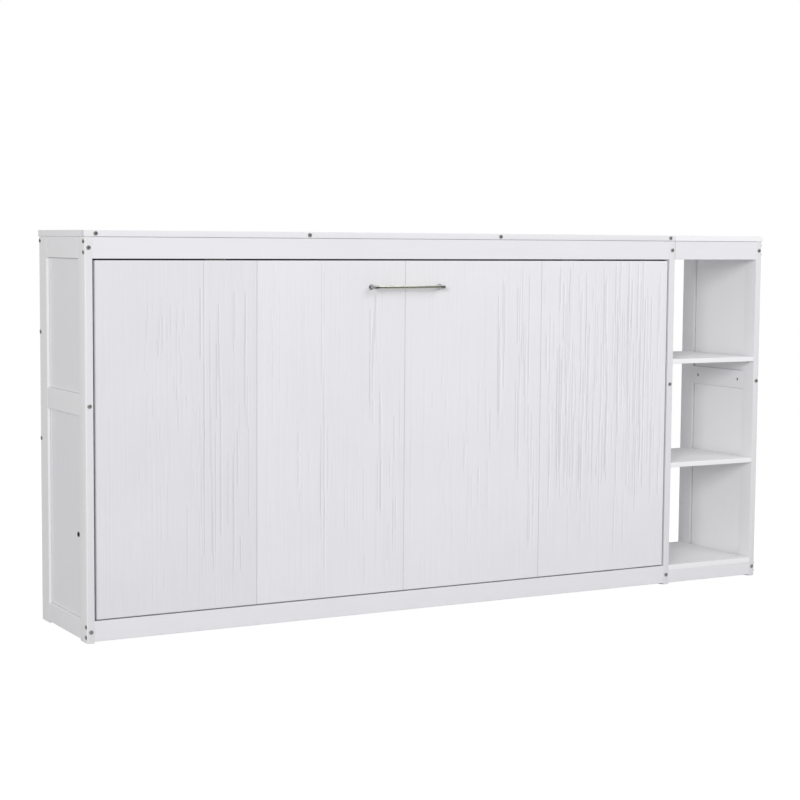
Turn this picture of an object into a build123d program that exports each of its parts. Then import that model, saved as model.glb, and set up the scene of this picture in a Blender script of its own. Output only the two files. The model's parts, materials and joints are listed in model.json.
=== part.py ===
from build123d import *
import os
from dataclasses import dataclass

# A horizontal folding wall bed: a twin bed box that swings down out of a low cabinet, whose four-plank
# front is the bed box's underside, with an open shelf unit on the cabinet's right.  All sizes in mm.
#
# Frame: +Z up, +X along the cabinet towards the shelf unit, +Y towards the wall.  The origin is on the
# floor, at the centre of the closed object's box, which runs from the handle to the wall side.

# ---------------------------------------------------------------- driving sizes
MAIN_WIDTH = 2035.0            # bed cabinet, over its two side frames
SHELF_UNIT_WIDTH = 366.0       # from the bed cabinet's right side to the far right end
DEPTH = 396.0                  # side frames, front to back
HEIGHT = 1164.0
TOP_THICKNESS = 18.0
TOP_OVERHANG = 3.0             # past the front, the left end and the right end
FRAME_THICKNESS = 22.0         # side frames' stiles and rails
BOARD_THICKNESS = 18.0         # aprons, rear rails and the bed's front
EASE = 0.8                     # broken edge of every board

FRONT_STILE_WIDTH = 57.0
REAR_STILE_WIDTH = 64.0
PANEL_THICKNESS = 6.0
GROOVE_DEPTH = 5.0             # the panels' tongues in the stiles and rails
FOOT_GLIDE_HEIGHT = 2.0
FOOT_GLIDE_RADIUS = 9.0

APRON_BOTTOM_Z = 1085.0
MID_RAIL_Z = (643.0, 704.0)
BOTTOM_RAIL_Z = (7.0, 62.5)
FRONT_RAIL_NOSE_Z = 66.0       # the front bottom rail's top slopes back, clear of the bed's swing
FRONT_RAIL_HEEL_Z = 60.5
REAR_RAIL_WIDTH = 60.0
REAR_TOP_RAIL_WIDTH = 92.0     # deep enough to shut off the view through the gap over the bed
REAR_UPPER_RAIL_Z = 865.0      # centre heights of the two middle rear rails
REAR_LOWER_RAIL_Z = 549.0
NOSING_DEPTH = 22.0            # strip along the top board's front edge

SHELF_THICKNESS = 16.0
SHELF_DEPTH = 352.0
SHELF_TOP_Z = (756.0, 410.0)
SHELF_FLOOR_DEPTH = 380.0
SHELF_FLOOR_TOP_Z = 66.0
SHELF_PIN_RADIUS = 2.5
SHELF_PIN_LENGTH = 18.0
SHELF_PIN_SET_IN = 10.0        # length of a pin inside the stile
SHELF_PIN_Y = (30.0, 344.0)    # from the front face

PIVOT_Y = 88.0                 # bed pivot, from the cabinet's front face
PIVOT_Z = 302.0
PIVOT_RADIUS = 5.0
RUNNING_CLEARANCE = 0.05       # radial, between a pivot and what turns on it

BED_GAP = 7.0                  # cabinet side frame to the edge of the bed's front
PLANK_COUNT = 4
PLANK_Z = (69.0, 1081.5)
BED_RAIL_THICKNESS = 15.0
BED_RAIL_Y = (18.0, 130.0)
BED_RAIL_INSET = 3.0           # bed box inside the front's edge
BED_BOX_Z = (71.0, 1078.0)
SLAT_COUNT = 14
SLAT_WIDTH = 60.0
SLAT_Y = (62.0, 78.0)
LEDGER_SIDE = 20.0
CENTRE_BEAM_WIDTH = 30.0

LEG_PIVOT_Y = 80.0
LEG_PIVOT_Z = 1030.0
LEG_DROP = 294.0               # leg pivot to the floor, with the bed open
LEG_WIDTH = 40.0
LEG_THICKNESS = 3.4
LEG_SIDE_GAP = 2.4             # leg to the cabinet's side frame
LEG_PIN_RADIUS = 4.0
LEG_FOOT_HEIGHT = 22.0
LEG_FOOT_WALL = 0.9

BOLT_RADIUS = 3.0
BOLT_HOLE_RADIUS = 3.25
BOLT_HEAD_RADIUS = 6.25
BOLT_HEAD_HEIGHT = 2.5
HEX_SOCKET_RADIUS = 2.3
HEX_SOCKET_DEPTH = 1.8
NUT_RADIUS = 5.0
NUT_LENGTH = 15.0
NUT_SET_BACK = 30.0            # barrel nut's centre from the rail's end

HANDLE_CENTRE_X = 1018.0       # from the cabinet's left face
HANDLE_Z = 1001.0
HANDLE_POST_SPACING = 236.0
HANDLE_STAND_OFF = 29.0        # bar centre from the front's face
HANDLE_BAR_RADIUS = 6.0
FERRULE_OUTWARD = 5.0          # end sleeves past their post's centre, away from the bar
FERRULE_INWARD = 9.0           # and towards the bar

WALL_HOLE_SPACING = 1625.6     # four wall studs at 406.4 centres
WALL_HOLE_RADIUS = 3.25

# ---------------------------------------------------------------- places worked out from them
OVERALL_LENGTH = MAIN_WIDTH + SHELF_UNIT_WIDTH + 2 * TOP_OVERHANG
HANDLE_REACH = HANDLE_STAND_OFF + HANDLE_BAR_RADIUS
LEFT_X = -OVERALL_LENGTH / 2 + TOP_OVERHANG
MAIN_RIGHT_X = LEFT_X + MAIN_WIDTH
RIGHT_X = MAIN_RIGHT_X + SHELF_UNIT_WIDTH
FRONT_Y = (HANDLE_REACH - DEPTH) / 2
REAR_Y = FRONT_Y + DEPTH
TOP_Z = HEIGHT - TOP_THICKNESS
MAIN_CENTRE_X = LEFT_X + MAIN_WIDTH / 2
INSIDE_X = (LEFT_X + FRAME_THICKNESS, MAIN_RIGHT_X - FRAME_THICKNESS)
SHELF_X = (MAIN_RIGHT_X, RIGHT_X - FRAME_THICKNESS)
FRONT_BOARD_Y = (FRONT_Y, FRONT_Y + BOARD_THICKNESS)
REAR_BOARD_Y = (REAR_Y - BOARD_THICKNESS, REAR_Y)
RAIL_Y = (FRONT_Y + FRONT_STILE_WIDTH, REAR_Y - REAR_STILE_WIDTH)
APRON_Z = (APRON_BOTTOM_Z, TOP_Z)
FRAME_LEFT_X = {"left": LEFT_X, "middle": MAIN_RIGHT_X - FRAME_THICKNESS, "right": RIGHT_X - FRAME_THICKNESS}
SIDE_RAIL_Z = {"bottom": BOTTOM_RAIL_Z, "mid": MID_RAIL_Z, "top": APRON_Z}
FRONT_X = (INSIDE_X[0] + BED_GAP, INSIDE_X[1] - BED_GAP)
BED_BOX_X = (FRONT_X[0] + BED_RAIL_INSET, FRONT_X[1] - BED_RAIL_INSET)
BED_BOARD_Y = (FRONT_Y + BED_RAIL_Y[0], FRONT_Y + BED_RAIL_Y[1])


def middle(span):
    """The middle of a (low, high) span."""
    return (span[0] + span[1]) / 2


def size(span):
    """The length of a (low, high) span."""
    return span[1] - span[0]


def mirrored(span):
    """A span of X mirrored to the bed cabinet's other side."""
    return (2 * MAIN_CENTRE_X - span[1], 2 * MAIN_CENTRE_X - span[0])


@dataclass(frozen=True)
class Drilling:
    """A round hole along X or Y: the middle of its mouth, the way it goes in, its radius and its depth."""

    mouth: tuple
    way: tuple
    radius: float
    depth: float

    def plane(self):
        return Plane(origin=self.mouth, z_dir=self.way)

    def meets(self, spans):
        """Whether the hole reaches into a board that fills the three spans."""
        for start, step, (low, high) in zip(self.mouth, self.way, spans):
            reach = sorted((start, start + step * self.depth)) if step else (start, start)
            if reach[1] <= low or reach[0] >= high:
                return False
        return True


# ---------------------------------------------------------------- fasteners: (seat, way, shank length)
STILE_BOLT_SHANK = FRONT_STILE_WIDTH + NUT_SET_BACK + NUT_RADIUS + 1.0
REAR_BOLT_SINK = 3.0
REAR_BOLT_SHANK = REAR_STILE_WIDTH - REAR_BOLT_SINK + NUT_SET_BACK + NUT_RADIUS + 1.0
SIDE_BOLT_SHANK = 60.0
TOP_BOLT_SHANK = 50.0
FRONT_BOLT_Y = FRONT_Y + BOARD_THICKNESS / 2
REAR_BOLT_Y = REAR_Y - BOARD_THICKNESS / 2
APRON_BOLT_Z = (1133.0, 1102.5)
BOTTOM_RAIL_BOLT_Z = (48.6, 19.4)
KICK_RAIL_BOLT_Z = (44.0, 19.4)
REAR_BOLT_Z = (1133.0, REAR_UPPER_RAIL_Z, REAR_LOWER_RAIL_Z)
TOP_BOLT_X = (31.0, 692.0, 1355.0, 2014.0)


def stile_bolts():
    """Bolts through each side frame's two stiles into barrel nuts in its rails."""
    bolts = []
    for left_x in FRAME_LEFT_X.values():
        centre_x = left_x + FRAME_THICKNESS / 2
        for rail_z in SIDE_RAIL_Z.values():
            bolts.append(((centre_x, FRONT_Y, middle(rail_z)), (0, 1, 0), STILE_BOLT_SHANK))
            bolts.append(((centre_x, REAR_Y - REAR_BOLT_SINK, middle(rail_z)), (0, -1, 0), REAR_BOLT_SHANK))
    return bolts


def side_bolts():
    """Bolts through the side frames' faces into the ends of the aprons, kick rail and rear rails."""
    bolts = []
    for z in APRON_BOLT_Z + BOTTOM_RAIL_BOLT_Z:
        bolts.append(((LEFT_X, FRONT_BOLT_Y, z), (1, 0, 0), SIDE_BOLT_SHANK))
    for z in REAR_BOLT_Z:
        bolts.append(((LEFT_X, REAR_BOLT_Y, z), (1, 0, 0), SIDE_BOLT_SHANK))
        bolts.append(((MAIN_RIGHT_X, REAR_BOLT_Y, z), (-1, 0, 0), SIDE_BOLT_SHANK))
    for z in APRON_BOLT_Z + KICK_RAIL_BOLT_Z:
        bolts.append(((RIGHT_X, FRONT_BOLT_Y, z), (-1, 0, 0), SIDE_BOLT_SHANK))
    return bolts


def top_bolts():
    """Bolts through the top's front nosing into the top board."""
    nosing_y = FRONT_Y - TOP_OVERHANG
    nosing_z = middle((TOP_Z, HEIGHT))
    return [((LEFT_X + x, nosing_y, nosing_z), (0, 1, 0), TOP_BOLT_SHANK) for x in TOP_BOLT_X]


BOLTS = stile_bolts() + side_bolts() + top_bolts()


def barrel_nut_places():
    """Centres of the barrel nuts that the stile bolts screw into."""
    places = []
    for left_x in FRAME_LEFT_X.values():
        for rail_z in SIDE_RAIL_Z.values():
            for y in (RAIL_Y[0] + NUT_SET_BACK, RAIL_Y[1] - NUT_SET_BACK):
                places.append((left_x + FRAME_THICKNESS / 2, y, middle(rail_z)))
    return places


STUD_LENGTH = 2 * 28.0 + FRAME_THICKNESS
STUD_START_X = MAIN_RIGHT_X - FRAME_THICKNESS / 2 - STUD_LENGTH / 2
STUD_PLACES = [(STUD_START_X, FRONT_BOLT_Y, z) for z in APRON_BOLT_Z + KICK_RAIL_BOLT_Z]


def shelf_pin_places():
    """Each shelf pin's buried end and the way it points into the shelf bay."""
    places = []
    for shelf_z in SHELF_TOP_Z:
        for y in SHELF_PIN_Y:
            z = shelf_z - SHELF_THICKNESS - SHELF_PIN_RADIUS
            places.append(((SHELF_X[0] - SHELF_PIN_SET_IN, FRONT_Y + y, z), (1, 0, 0)))
            places.append(((SHELF_X[1] + SHELF_PIN_SET_IN, FRONT_Y + y, z), (-1, 0, 0)))
    return places


PIVOT_CENTRE_Y = FRONT_Y + PIVOT_Y
LEG_CENTRE_Y = FRONT_Y + LEG_PIVOT_Y
PIVOT_SIDES = {"left": (LEFT_X, 1), "right": (MAIN_RIGHT_X, -1)}
PIVOT_PLATE_THICKNESS = 3.0
PIVOT_BLOCK_THICKNESS = (FRAME_THICKNESS - PANEL_THICKNESS) / 2
PIVOT_SHANK = 46.5             # from the recessed panel's face to past the lock nut
LEG_PIN_DEPTH = 12.0           # into the bed's side rail
LEG_PIN_HEAD_THICKNESS = 1.8


def drillings():
    """Every hole that a bolt, nut, stud, pin or pivot needs in the boards."""
    holes = []
    for seat, way, shank in BOLTS:
        holes.append(Drilling(seat, way, BOLT_HOLE_RADIUS, shank + 1.0))
        if way == (0, -1, 0):
            mouth = (seat[0], REAR_Y, seat[2])
            holes.append(Drilling(mouth, way, BOLT_HEAD_RADIUS + 0.5, REAR_BOLT_SINK))
    for x, y, z in barrel_nut_places():
        way = -1 if x > MAIN_CENTRE_X else 1
        mouth = (x + way * FRAME_THICKNESS / 2, y, z)
        holes.append(Drilling(mouth, (-way, 0, 0), NUT_RADIUS + 0.1, (FRAME_THICKNESS + NUT_LENGTH) / 2))
    for place in STUD_PLACES:
        holes.append(Drilling(place, (1, 0, 0), BOLT_HOLE_RADIUS, STUD_LENGTH))
    for place, way in shelf_pin_places():
        holes.append(Drilling(place, way, SHELF_PIN_RADIUS, SHELF_PIN_SET_IN))
    for outer_x, inward in PIVOT_SIDES.values():
        pivot_mouth = (outer_x, PIVOT_CENTRE_Y, PIVOT_Z)
        pivot_reach = FRAME_THICKNESS + BED_GAP + BED_RAIL_INSET + BED_RAIL_THICKNESS
        pivot_hole_radius = PIVOT_RADIUS + RUNNING_CLEARANCE
        holes.append(Drilling(pivot_mouth, (inward, 0, 0), pivot_hole_radius, pivot_reach + 1))
        rail_x = outer_x + inward * (FRAME_THICKNESS + BED_GAP + BED_RAIL_INSET)
        leg_mouth = (rail_x, LEG_CENTRE_Y, LEG_PIVOT_Z)
        holes.append(Drilling(leg_mouth, (inward, 0, 0), LEG_PIN_RADIUS, LEG_PIN_DEPTH))
    for x in (-WALL_HOLE_SPACING / 2, WALL_HOLE_SPACING / 2):
        for z in (middle(APRON_Z), REAR_UPPER_RAIL_Z):
            mouth = (MAIN_CENTRE_X + x, REAR_Y, z)
            holes.append(Drilling(mouth, (0, -1, 0), WALL_HOLE_RADIUS, BOARD_THICKNESS))
    return holes


DRILLINGS = drillings()


def board(spans, pockets=()):
    """A board that fills three spans, edges broken, with its holes drilled and its grooves cut."""
    x_span, y_span, z_span = spans
    with BuildPart() as piece:
        with BuildSketch(Plane.XY.offset(z_span[0])):
            with Locations((middle(x_span), middle(y_span))):
                Rectangle(size(x_span), size(y_span))
        extrude(amount=size(z_span))
        chamfer(piece.edges(), length=EASE)
        for hole in DRILLINGS:
            if hole.meets(spans):
                with BuildSketch(hole.plane()):
                    Circle(hole.radius)
                extrude(amount=hole.depth, mode=Mode.SUBTRACT)
        for pocket_x, pocket_y, pocket_z in pockets:
            with BuildSketch(Plane.XY.offset(pocket_z[0])):
                with Locations((middle(pocket_x), middle(pocket_y))):
                    Rectangle(size(pocket_x), size(pocket_y))
            extrude(amount=size(pocket_z), mode=Mode.SUBTRACT)
    return piece


pieces = {}


# ------------------------------------------------ side frames: two stiles, three rails, two panels
def side_frame(name, left_x):
    """One framed side: its panels' tongues sit in grooves in its stiles and rails."""
    frame_x = (left_x, left_x + FRAME_THICKNESS)
    panel_x = (middle(frame_x) - PANEL_THICKNESS / 2, middle(frame_x) + PANEL_THICKNESS / 2)
    panel_y = (RAIL_Y[0] - GROOVE_DEPTH, RAIL_Y[1] + GROOVE_DEPTH)
    upper_z = (MID_RAIL_Z[1] - GROOVE_DEPTH, APRON_Z[0] + GROOVE_DEPTH)
    lower_z = (BOTTOM_RAIL_Z[1] - GROOVE_DEPTH, MID_RAIL_Z[0] + GROOVE_DEPTH)
    panels = [(panel_x, panel_y, upper_z), (panel_x, panel_y, lower_z)]
    stile_z = (FOOT_GLIDE_HEIGHT, TOP_Z)
    pieces[f"{name}_front_stile"] = board((frame_x, (FRONT_Y, RAIL_Y[0]), stile_z), panels)
    pieces[f"{name}_rear_stile"] = board((frame_x, (RAIL_Y[1], REAR_Y), stile_z), panels)
    for level, rail_z in SIDE_RAIL_Z.items():
        pieces[f"{name}_{level}_rail"] = board((frame_x, RAIL_Y, rail_z), panels)
    with BuildPart() as panel_pair:
        for spans in panels:
            add(board(spans).part)
    pieces[f"{name}_panels"] = panel_pair


for frame_name, frame_left_x in FRAME_LEFT_X.items():
    side_frame(frame_name, frame_left_x)

# ------------------------------------------------ top: nosing and board, and the shelf unit's own top
top_z = (TOP_Z, HEIGHT)
nosing_y = (FRONT_Y - TOP_OVERHANG, FRONT_Y - TOP_OVERHANG + NOSING_DEPTH)
main_top_x = (LEFT_X - TOP_OVERHANG, MAIN_RIGHT_X)
pieces["top_nosing"] = board((main_top_x, nosing_y, top_z))
pieces["top_board"] = board((main_top_x, (nosing_y[1], REAR_Y), top_z))
pieces["shelf_unit_top"] = board(((MAIN_RIGHT_X, RIGHT_X + TOP_OVERHANG), (nosing_y[0], REAR_Y), top_z))

# ------------------------------------------------ long rails of the cabinet and the shelf unit
pieces["front_apron"] = board((INSIDE_X, FRONT_BOARD_Y, APRON_Z))
with BuildPart() as front_bottom_rail:
    add(board((INSIDE_X, FRONT_BOARD_Y, (BOTTOM_RAIL_Z[0], FRONT_RAIL_NOSE_Z))).part)
    with BuildSketch(Plane.YZ.offset(INSIDE_X[0])):
        with BuildLine():
            nose = (FRONT_BOARD_Y[0], FRONT_RAIL_NOSE_Z)
            heel = (FRONT_BOARD_Y[1], FRONT_RAIL_HEEL_Z)
            Polyline(nose, heel, (heel[0], nose[1]), close=True)
        make_face()
    extrude(amount=size(INSIDE_X), mode=Mode.SUBTRACT)
pieces["front_bottom_rail"] = front_bottom_rail
pieces["shelf_unit_apron"] = board((SHELF_X, FRONT_BOARD_Y, APRON_Z))
kick_rail_z = (BOTTOM_RAIL_Z[0], SHELF_FLOOR_TOP_Z - SHELF_THICKNESS)
pieces["shelf_unit_kick_rail"] = board((SHELF_X, FRONT_BOARD_Y, kick_rail_z))
pieces["rear_top_rail"] = board((INSIDE_X, REAR_BOARD_Y, (TOP_Z - REAR_TOP_RAIL_WIDTH, TOP_Z)))
pieces["rear_bottom_rail"] = board((INSIDE_X, REAR_BOARD_Y, BOTTOM_RAIL_Z))
with BuildPart() as rear_middle_rails:
    for rail_centre_z in (REAR_UPPER_RAIL_Z, REAR_LOWER_RAIL_Z):
        rail_z = (rail_centre_z - REAR_RAIL_WIDTH / 2, rail_centre_z + REAR_RAIL_WIDTH / 2)
        add(board((INSIDE_X, REAR_BOARD_Y, rail_z)).part)
pieces["rear_middle_rails"] = rear_middle_rails

# ---------------------------------------------------------------- shelves, their floor and their pins
shelf_y = (FRONT_Y + 1.0, FRONT_Y + 1.0 + SHELF_DEPTH)
for shelf_name, shelf_top_z in zip(("upper", "lower"), SHELF_TOP_Z):
    shelf_z = (shelf_top_z - SHELF_THICKNESS, shelf_top_z)
    pieces[f"shelf_{shelf_name}"] = board((SHELF_X, shelf_y, shelf_z))
floor_z = (SHELF_FLOOR_TOP_Z - SHELF_THICKNESS, SHELF_FLOOR_TOP_Z)
pieces["shelf_floor"] = board((SHELF_X, (FRONT_Y, FRONT_Y + SHELF_FLOOR_DEPTH), floor_z))

with BuildPart() as shelf_pins:
    for pin_place, pin_way in shelf_pin_places():
        with BuildSketch(Plane(origin=pin_place, z_dir=pin_way)):
            Circle(SHELF_PIN_RADIUS)
        extrude(amount=SHELF_PIN_LENGTH)
pieces["shelf_pins"] = shelf_pins

# ---------------------------------------------------------------- feet
with BuildPart() as foot_glides:
    for frame_left_x in FRAME_LEFT_X.values():
        for glide_y in (FRONT_Y + FRONT_STILE_WIDTH / 2, REAR_Y - REAR_STILE_WIDTH / 2):
            with BuildSketch(Plane.XY):
                with Locations((frame_left_x + FRAME_THICKNESS / 2, glide_y)):
                    Circle(FOOT_GLIDE_RADIUS)
            extrude(amount=FOOT_GLIDE_HEIGHT)
pieces["foot_glides"] = foot_glides


# ---------------------------------------------------------------- fasteners
def furniture_bolt(shank_length):
    """A flat-headed bolt with a hex socket: head above the plane, shank below it along +Z."""
    head_chamfer = 0.6
    with BuildPart() as bolt:
        with BuildSketch(Plane.XZ):
            with BuildLine():
                Polyline(
                    (0, -BOLT_HEAD_HEIGHT),
                    (BOLT_HEAD_RADIUS - head_chamfer, -BOLT_HEAD_HEIGHT),
                    (BOLT_HEAD_RADIUS, head_chamfer - BOLT_HEAD_HEIGHT),
                    (BOLT_HEAD_RADIUS, 0),
                    (BOLT_RADIUS, 0),
                    (BOLT_RADIUS, shank_length),
                    (0, shank_length),
                    close=True,
                )
            make_face()
        revolve(axis=Axis.Z)
        with BuildSketch(Plane.XY.offset(-BOLT_HEAD_HEIGHT)):
            RegularPolygon(HEX_SOCKET_RADIUS, 6)
        extrude(amount=HEX_SOCKET_DEPTH, mode=Mode.SUBTRACT)
    return bolt.part


BOLT_KINDS = {shank: furniture_bolt(shank) for shank in sorted({shank for _, _, shank in BOLTS})}
with BuildPart() as frame_bolts:
    for seat, way, shank in BOLTS:
        with Locations(Plane(origin=seat, z_dir=way)):
            add(BOLT_KINDS[shank])
pieces["frame_bolts"] = frame_bolts

with BuildPart() as barrel_nuts:
    for nut_x, nut_y, nut_z in barrel_nut_places():
        with BuildSketch(Plane(origin=(nut_x - NUT_LENGTH / 2, nut_y, nut_z), z_dir=(1, 0, 0))):
            Circle(NUT_RADIUS)
        extrude(amount=NUT_LENGTH)
        with BuildSketch(Plane(origin=(nut_x, nut_y - NUT_RADIUS, nut_z), z_dir=(0, 1, 0))):
            Circle(BOLT_RADIUS)
        extrude(amount=2 * NUT_RADIUS, mode=Mode.SUBTRACT)
pieces["barrel_nuts"] = barrel_nuts

with BuildPart() as joining_studs:
    for stud_place in STUD_PLACES:
        with BuildSketch(Plane(origin=stud_place, z_dir=(1, 0, 0))):
            Circle(BOLT_RADIUS)
        extrude(amount=STUD_LENGTH)
pieces["joining_studs"] = joining_studs

# ---------------------------------------------------------------- bed pivots
PIVOT_HEAD_RADIUS = 7.5
PIVOT_HEAD_HEIGHT = 3.0
PIVOT_HEX_RADIUS = 3.4
PIVOT_BLOCK_HEIGHT = 125.0
PIVOT_BLOCK_Y = (FRONT_Y + FRONT_STILE_WIDTH + 1.0, FRONT_Y + 150.0)
WASHER_RADIUS = 14.0
WASHER_THICKNESS = BED_GAP + BED_RAIL_INSET - 0.3
LOCK_NUT_RADIUS = 9.0
LOCK_NUT_LENGTH = 6.0
NUT_CLEARANCE = 0.4
THREAD_GAP = 0.02              # keeps the lock nuts separate solids from their bolts
RAIL_INNER_OFFSET = FRAME_THICKNESS + BED_GAP + BED_RAIL_INSET + BED_RAIL_THICKNESS

with BuildPart() as pivot_bolts:
    for outer_x, inward in PIVOT_SIDES.values():
        seat_x = outer_x + inward * PIVOT_BLOCK_THICKNESS
        with BuildSketch(Plane(origin=(seat_x, PIVOT_CENTRE_Y, PIVOT_Z), z_dir=(inward, 0, 0))):
            Circle(PIVOT_RADIUS)
        extrude(amount=PIVOT_SHANK)
        with BuildSketch(Plane(origin=(seat_x, PIVOT_CENTRE_Y, PIVOT_Z), z_dir=(-inward, 0, 0))):
            Circle(PIVOT_HEAD_RADIUS)
        extrude(amount=PIVOT_HEAD_HEIGHT)
        socket_x = seat_x - inward * PIVOT_HEAD_HEIGHT
        with BuildSketch(Plane(origin=(socket_x, PIVOT_CENTRE_Y, PIVOT_Z), z_dir=(inward, 0, 0))):
            RegularPolygon(PIVOT_HEX_RADIUS, 6)
        extrude(amount=PIVOT_HEAD_HEIGHT - 0.6, mode=Mode.SUBTRACT)
        nut_x = outer_x + inward * (RAIL_INNER_OFFSET + PIVOT_PLATE_THICKNESS + NUT_CLEARANCE)
        with BuildSketch(Plane(origin=(nut_x, PIVOT_CENTRE_Y, PIVOT_Z), z_dir=(inward, 0, 0))):
            RegularPolygon(LOCK_NUT_RADIUS, 6)
            Circle(PIVOT_RADIUS + THREAD_GAP, mode=Mode.SUBTRACT)
        extrude(amount=LOCK_NUT_LENGTH)
pieces["pivot_bolts"] = pivot_bolts

with BuildPart() as pivot_blocks:
    for outer_x, inward in PIVOT_SIDES.values():
        block_ends = (FRAME_THICKNESS - PIVOT_BLOCK_THICKNESS, FRAME_THICKNESS)
        block_x = sorted(outer_x + inward * end for end in block_ends)
        block_z = (PIVOT_Z - PIVOT_BLOCK_HEIGHT / 2, PIVOT_Z + PIVOT_BLOCK_HEIGHT / 2)
        add(board((tuple(block_x), PIVOT_BLOCK_Y, block_z)).part)
pieces["pivot_blocks"] = pivot_blocks

with BuildPart() as pivot_washers:
    for outer_x, inward in PIVOT_SIDES.values():
        washer_x = outer_x + inward * FRAME_THICKNESS
        with BuildSketch(Plane(origin=(washer_x, PIVOT_CENTRE_Y, PIVOT_Z), z_dir=(inward, 0, 0))):
            Circle(WASHER_RADIUS)
            Circle(PIVOT_RADIUS, mode=Mode.SUBTRACT)
        extrude(amount=WASHER_THICKNESS)
pieces["pivot_washers"] = pivot_washers

PIVOT_PLATE_Y = (FRONT_Y + 79.0, FRONT_Y + 126.0)
PIVOT_PLATE_HEIGHT = 110.0
with BuildPart() as pivot_plates:
    for outer_x, inward in PIVOT_SIDES.values():
        plate_x = outer_x + inward * RAIL_INNER_OFFSET
        plate_plane = Plane(origin=(plate_x, PIVOT_CENTRE_Y, PIVOT_Z), x_dir=(0, 1, 0), z_dir=(inward, 0, 0))
        with BuildSketch(plate_plane):
            with Locations((middle(PIVOT_PLATE_Y) - PIVOT_CENTRE_Y, 0)):
                RectangleRounded(size(PIVOT_PLATE_Y), PIVOT_PLATE_HEIGHT, 4.0)
            Circle(PIVOT_RADIUS + RUNNING_CLEARANCE, mode=Mode.SUBTRACT)
        extrude(amount=PIVOT_PLATE_THICKNESS)
pieces["pivot_plates"] = pivot_plates

# ---------------------------------------------------------------- magnetic catches that hold the bed up
CATCH_X = (400.0, MAIN_WIDTH - 400.0)    # centres, from the cabinet's left face
CATCH_LENGTH = 60.0
CATCH_HEIGHT = 22.0
CATCH_DEPTH = 16.0
CATCH_BOTTOM_Z = APRON_BOTTOM_Z - 2.5
STRIKE_THICKNESS = 1.5


def catch_row(z_span, inset):
    """Two blocks behind the apron, one at each catch, filling a span of height."""
    with BuildPart() as row:
        for x in CATCH_X:
            x_span = (LEFT_X + x - CATCH_LENGTH / 2, LEFT_X + x + CATCH_LENGTH / 2)
            y_span = (FRONT_BOARD_Y[1] + inset, FRONT_BOARD_Y[1] + inset + CATCH_DEPTH)
            with BuildSketch(Plane.XY.offset(z_span[0])):
                with Locations((middle(x_span), middle(y_span))):
                    RectangleRounded(size(x_span), size(y_span), 2.0)
            extrude(amount=size(z_span))
    return row


pieces["catch_magnets"] = catch_row((CATCH_BOTTOM_Z, CATCH_BOTTOM_Z + CATCH_HEIGHT), 0.0)
pieces["strike_plates"] = catch_row((BED_BOX_Z[1], BED_BOX_Z[1] + STRIKE_THICKNESS), 0.5)

# ---------------------------------------------------------------- bed: front planks, box, slats
plank_width = size(FRONT_X) / PLANK_COUNT
for plank_index in range(PLANK_COUNT):
    plank_x = (FRONT_X[0] + plank_index * plank_width, FRONT_X[0] + (plank_index + 1) * plank_width)
    pieces[f"front_plank_{plank_index + 1}"] = board((plank_x, FRONT_BOARD_Y, PLANK_Z))

left_rail_x = (BED_BOX_X[0], BED_BOX_X[0] + BED_RAIL_THICKNESS)
between_rails_x = (left_rail_x[1], mirrored(left_rail_x)[0])
inner_rail_z = (BED_BOX_Z[0], BED_BOX_Z[0] + BED_RAIL_THICKNESS)
outer_rail_z = (BED_BOX_Z[1] - BED_RAIL_THICKNESS, BED_BOX_Z[1])
pieces["bed_left_rail"] = board((left_rail_x, BED_BOARD_Y, BED_BOX_Z))
pieces["bed_right_rail"] = board((mirrored(left_rail_x), BED_BOARD_Y, BED_BOX_Z))
pieces["bed_inner_rail"] = board((between_rails_x, BED_BOARD_Y, inner_rail_z))
pieces["bed_outer_rail"] = board((between_rails_x, BED_BOARD_Y, outer_rail_z))

slat_rest_y = (BED_BOARD_Y[0], FRONT_Y + SLAT_Y[0])
beam_z = (middle(BED_BOX_Z) - CENTRE_BEAM_WIDTH / 2, middle(BED_BOX_Z) + CENTRE_BEAM_WIDTH / 2)
pieces["bed_centre_beam"] = board((between_rails_x, slat_rest_y, beam_z))

ledger_y = (slat_rest_y[1] - LEDGER_SIDE, slat_rest_y[1])
with BuildPart() as slat_ledgers:
    for ledger_z in (
        (inner_rail_z[1], inner_rail_z[1] + LEDGER_SIDE),
        (outer_rail_z[0] - LEDGER_SIDE, outer_rail_z[0]),
    ):
        add(board((between_rails_x, ledger_y, ledger_z)).part)
pieces["slat_ledgers"] = slat_ledgers

SLAT_END_GAP = 8.0             # first and last slats to the side rails
slat_pitch = (size(between_rails_x) - 2 * SLAT_END_GAP - SLAT_WIDTH) / (SLAT_COUNT - 1)
slat_y = (FRONT_Y + SLAT_Y[0], FRONT_Y + SLAT_Y[1])
slat_z = (inner_rail_z[1] + 1.0, outer_rail_z[0] - 1.0)
with BuildPart() as bed_slats:
    for slat_index in range(SLAT_COUNT):
        slat_left_x = between_rails_x[0] + SLAT_END_GAP + slat_index * slat_pitch
        add(board(((slat_left_x, slat_left_x + SLAT_WIDTH), slat_y, slat_z)).part)
pieces["bed_slats"] = bed_slats


# ---------------------------------------------------------------- handle
HANDLE_POSTS = (
    (LEFT_X + HANDLE_CENTRE_X - HANDLE_POST_SPACING / 2, 1),
    (LEFT_X + HANDLE_CENTRE_X + HANDLE_POST_SPACING / 2, -1),
)                              # each post's centre and the way from it to the bar
HANDLE_BAR_Y = FRONT_Y - HANDLE_STAND_OFF
FERRULE_WALL = 0.8
ROSETTE_RADIUS = 8.5
ROSETTE_HEIGHT = 4.0
ROSETTE_EASE = 1.0
NECK_RADIUS = 4.5

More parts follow.
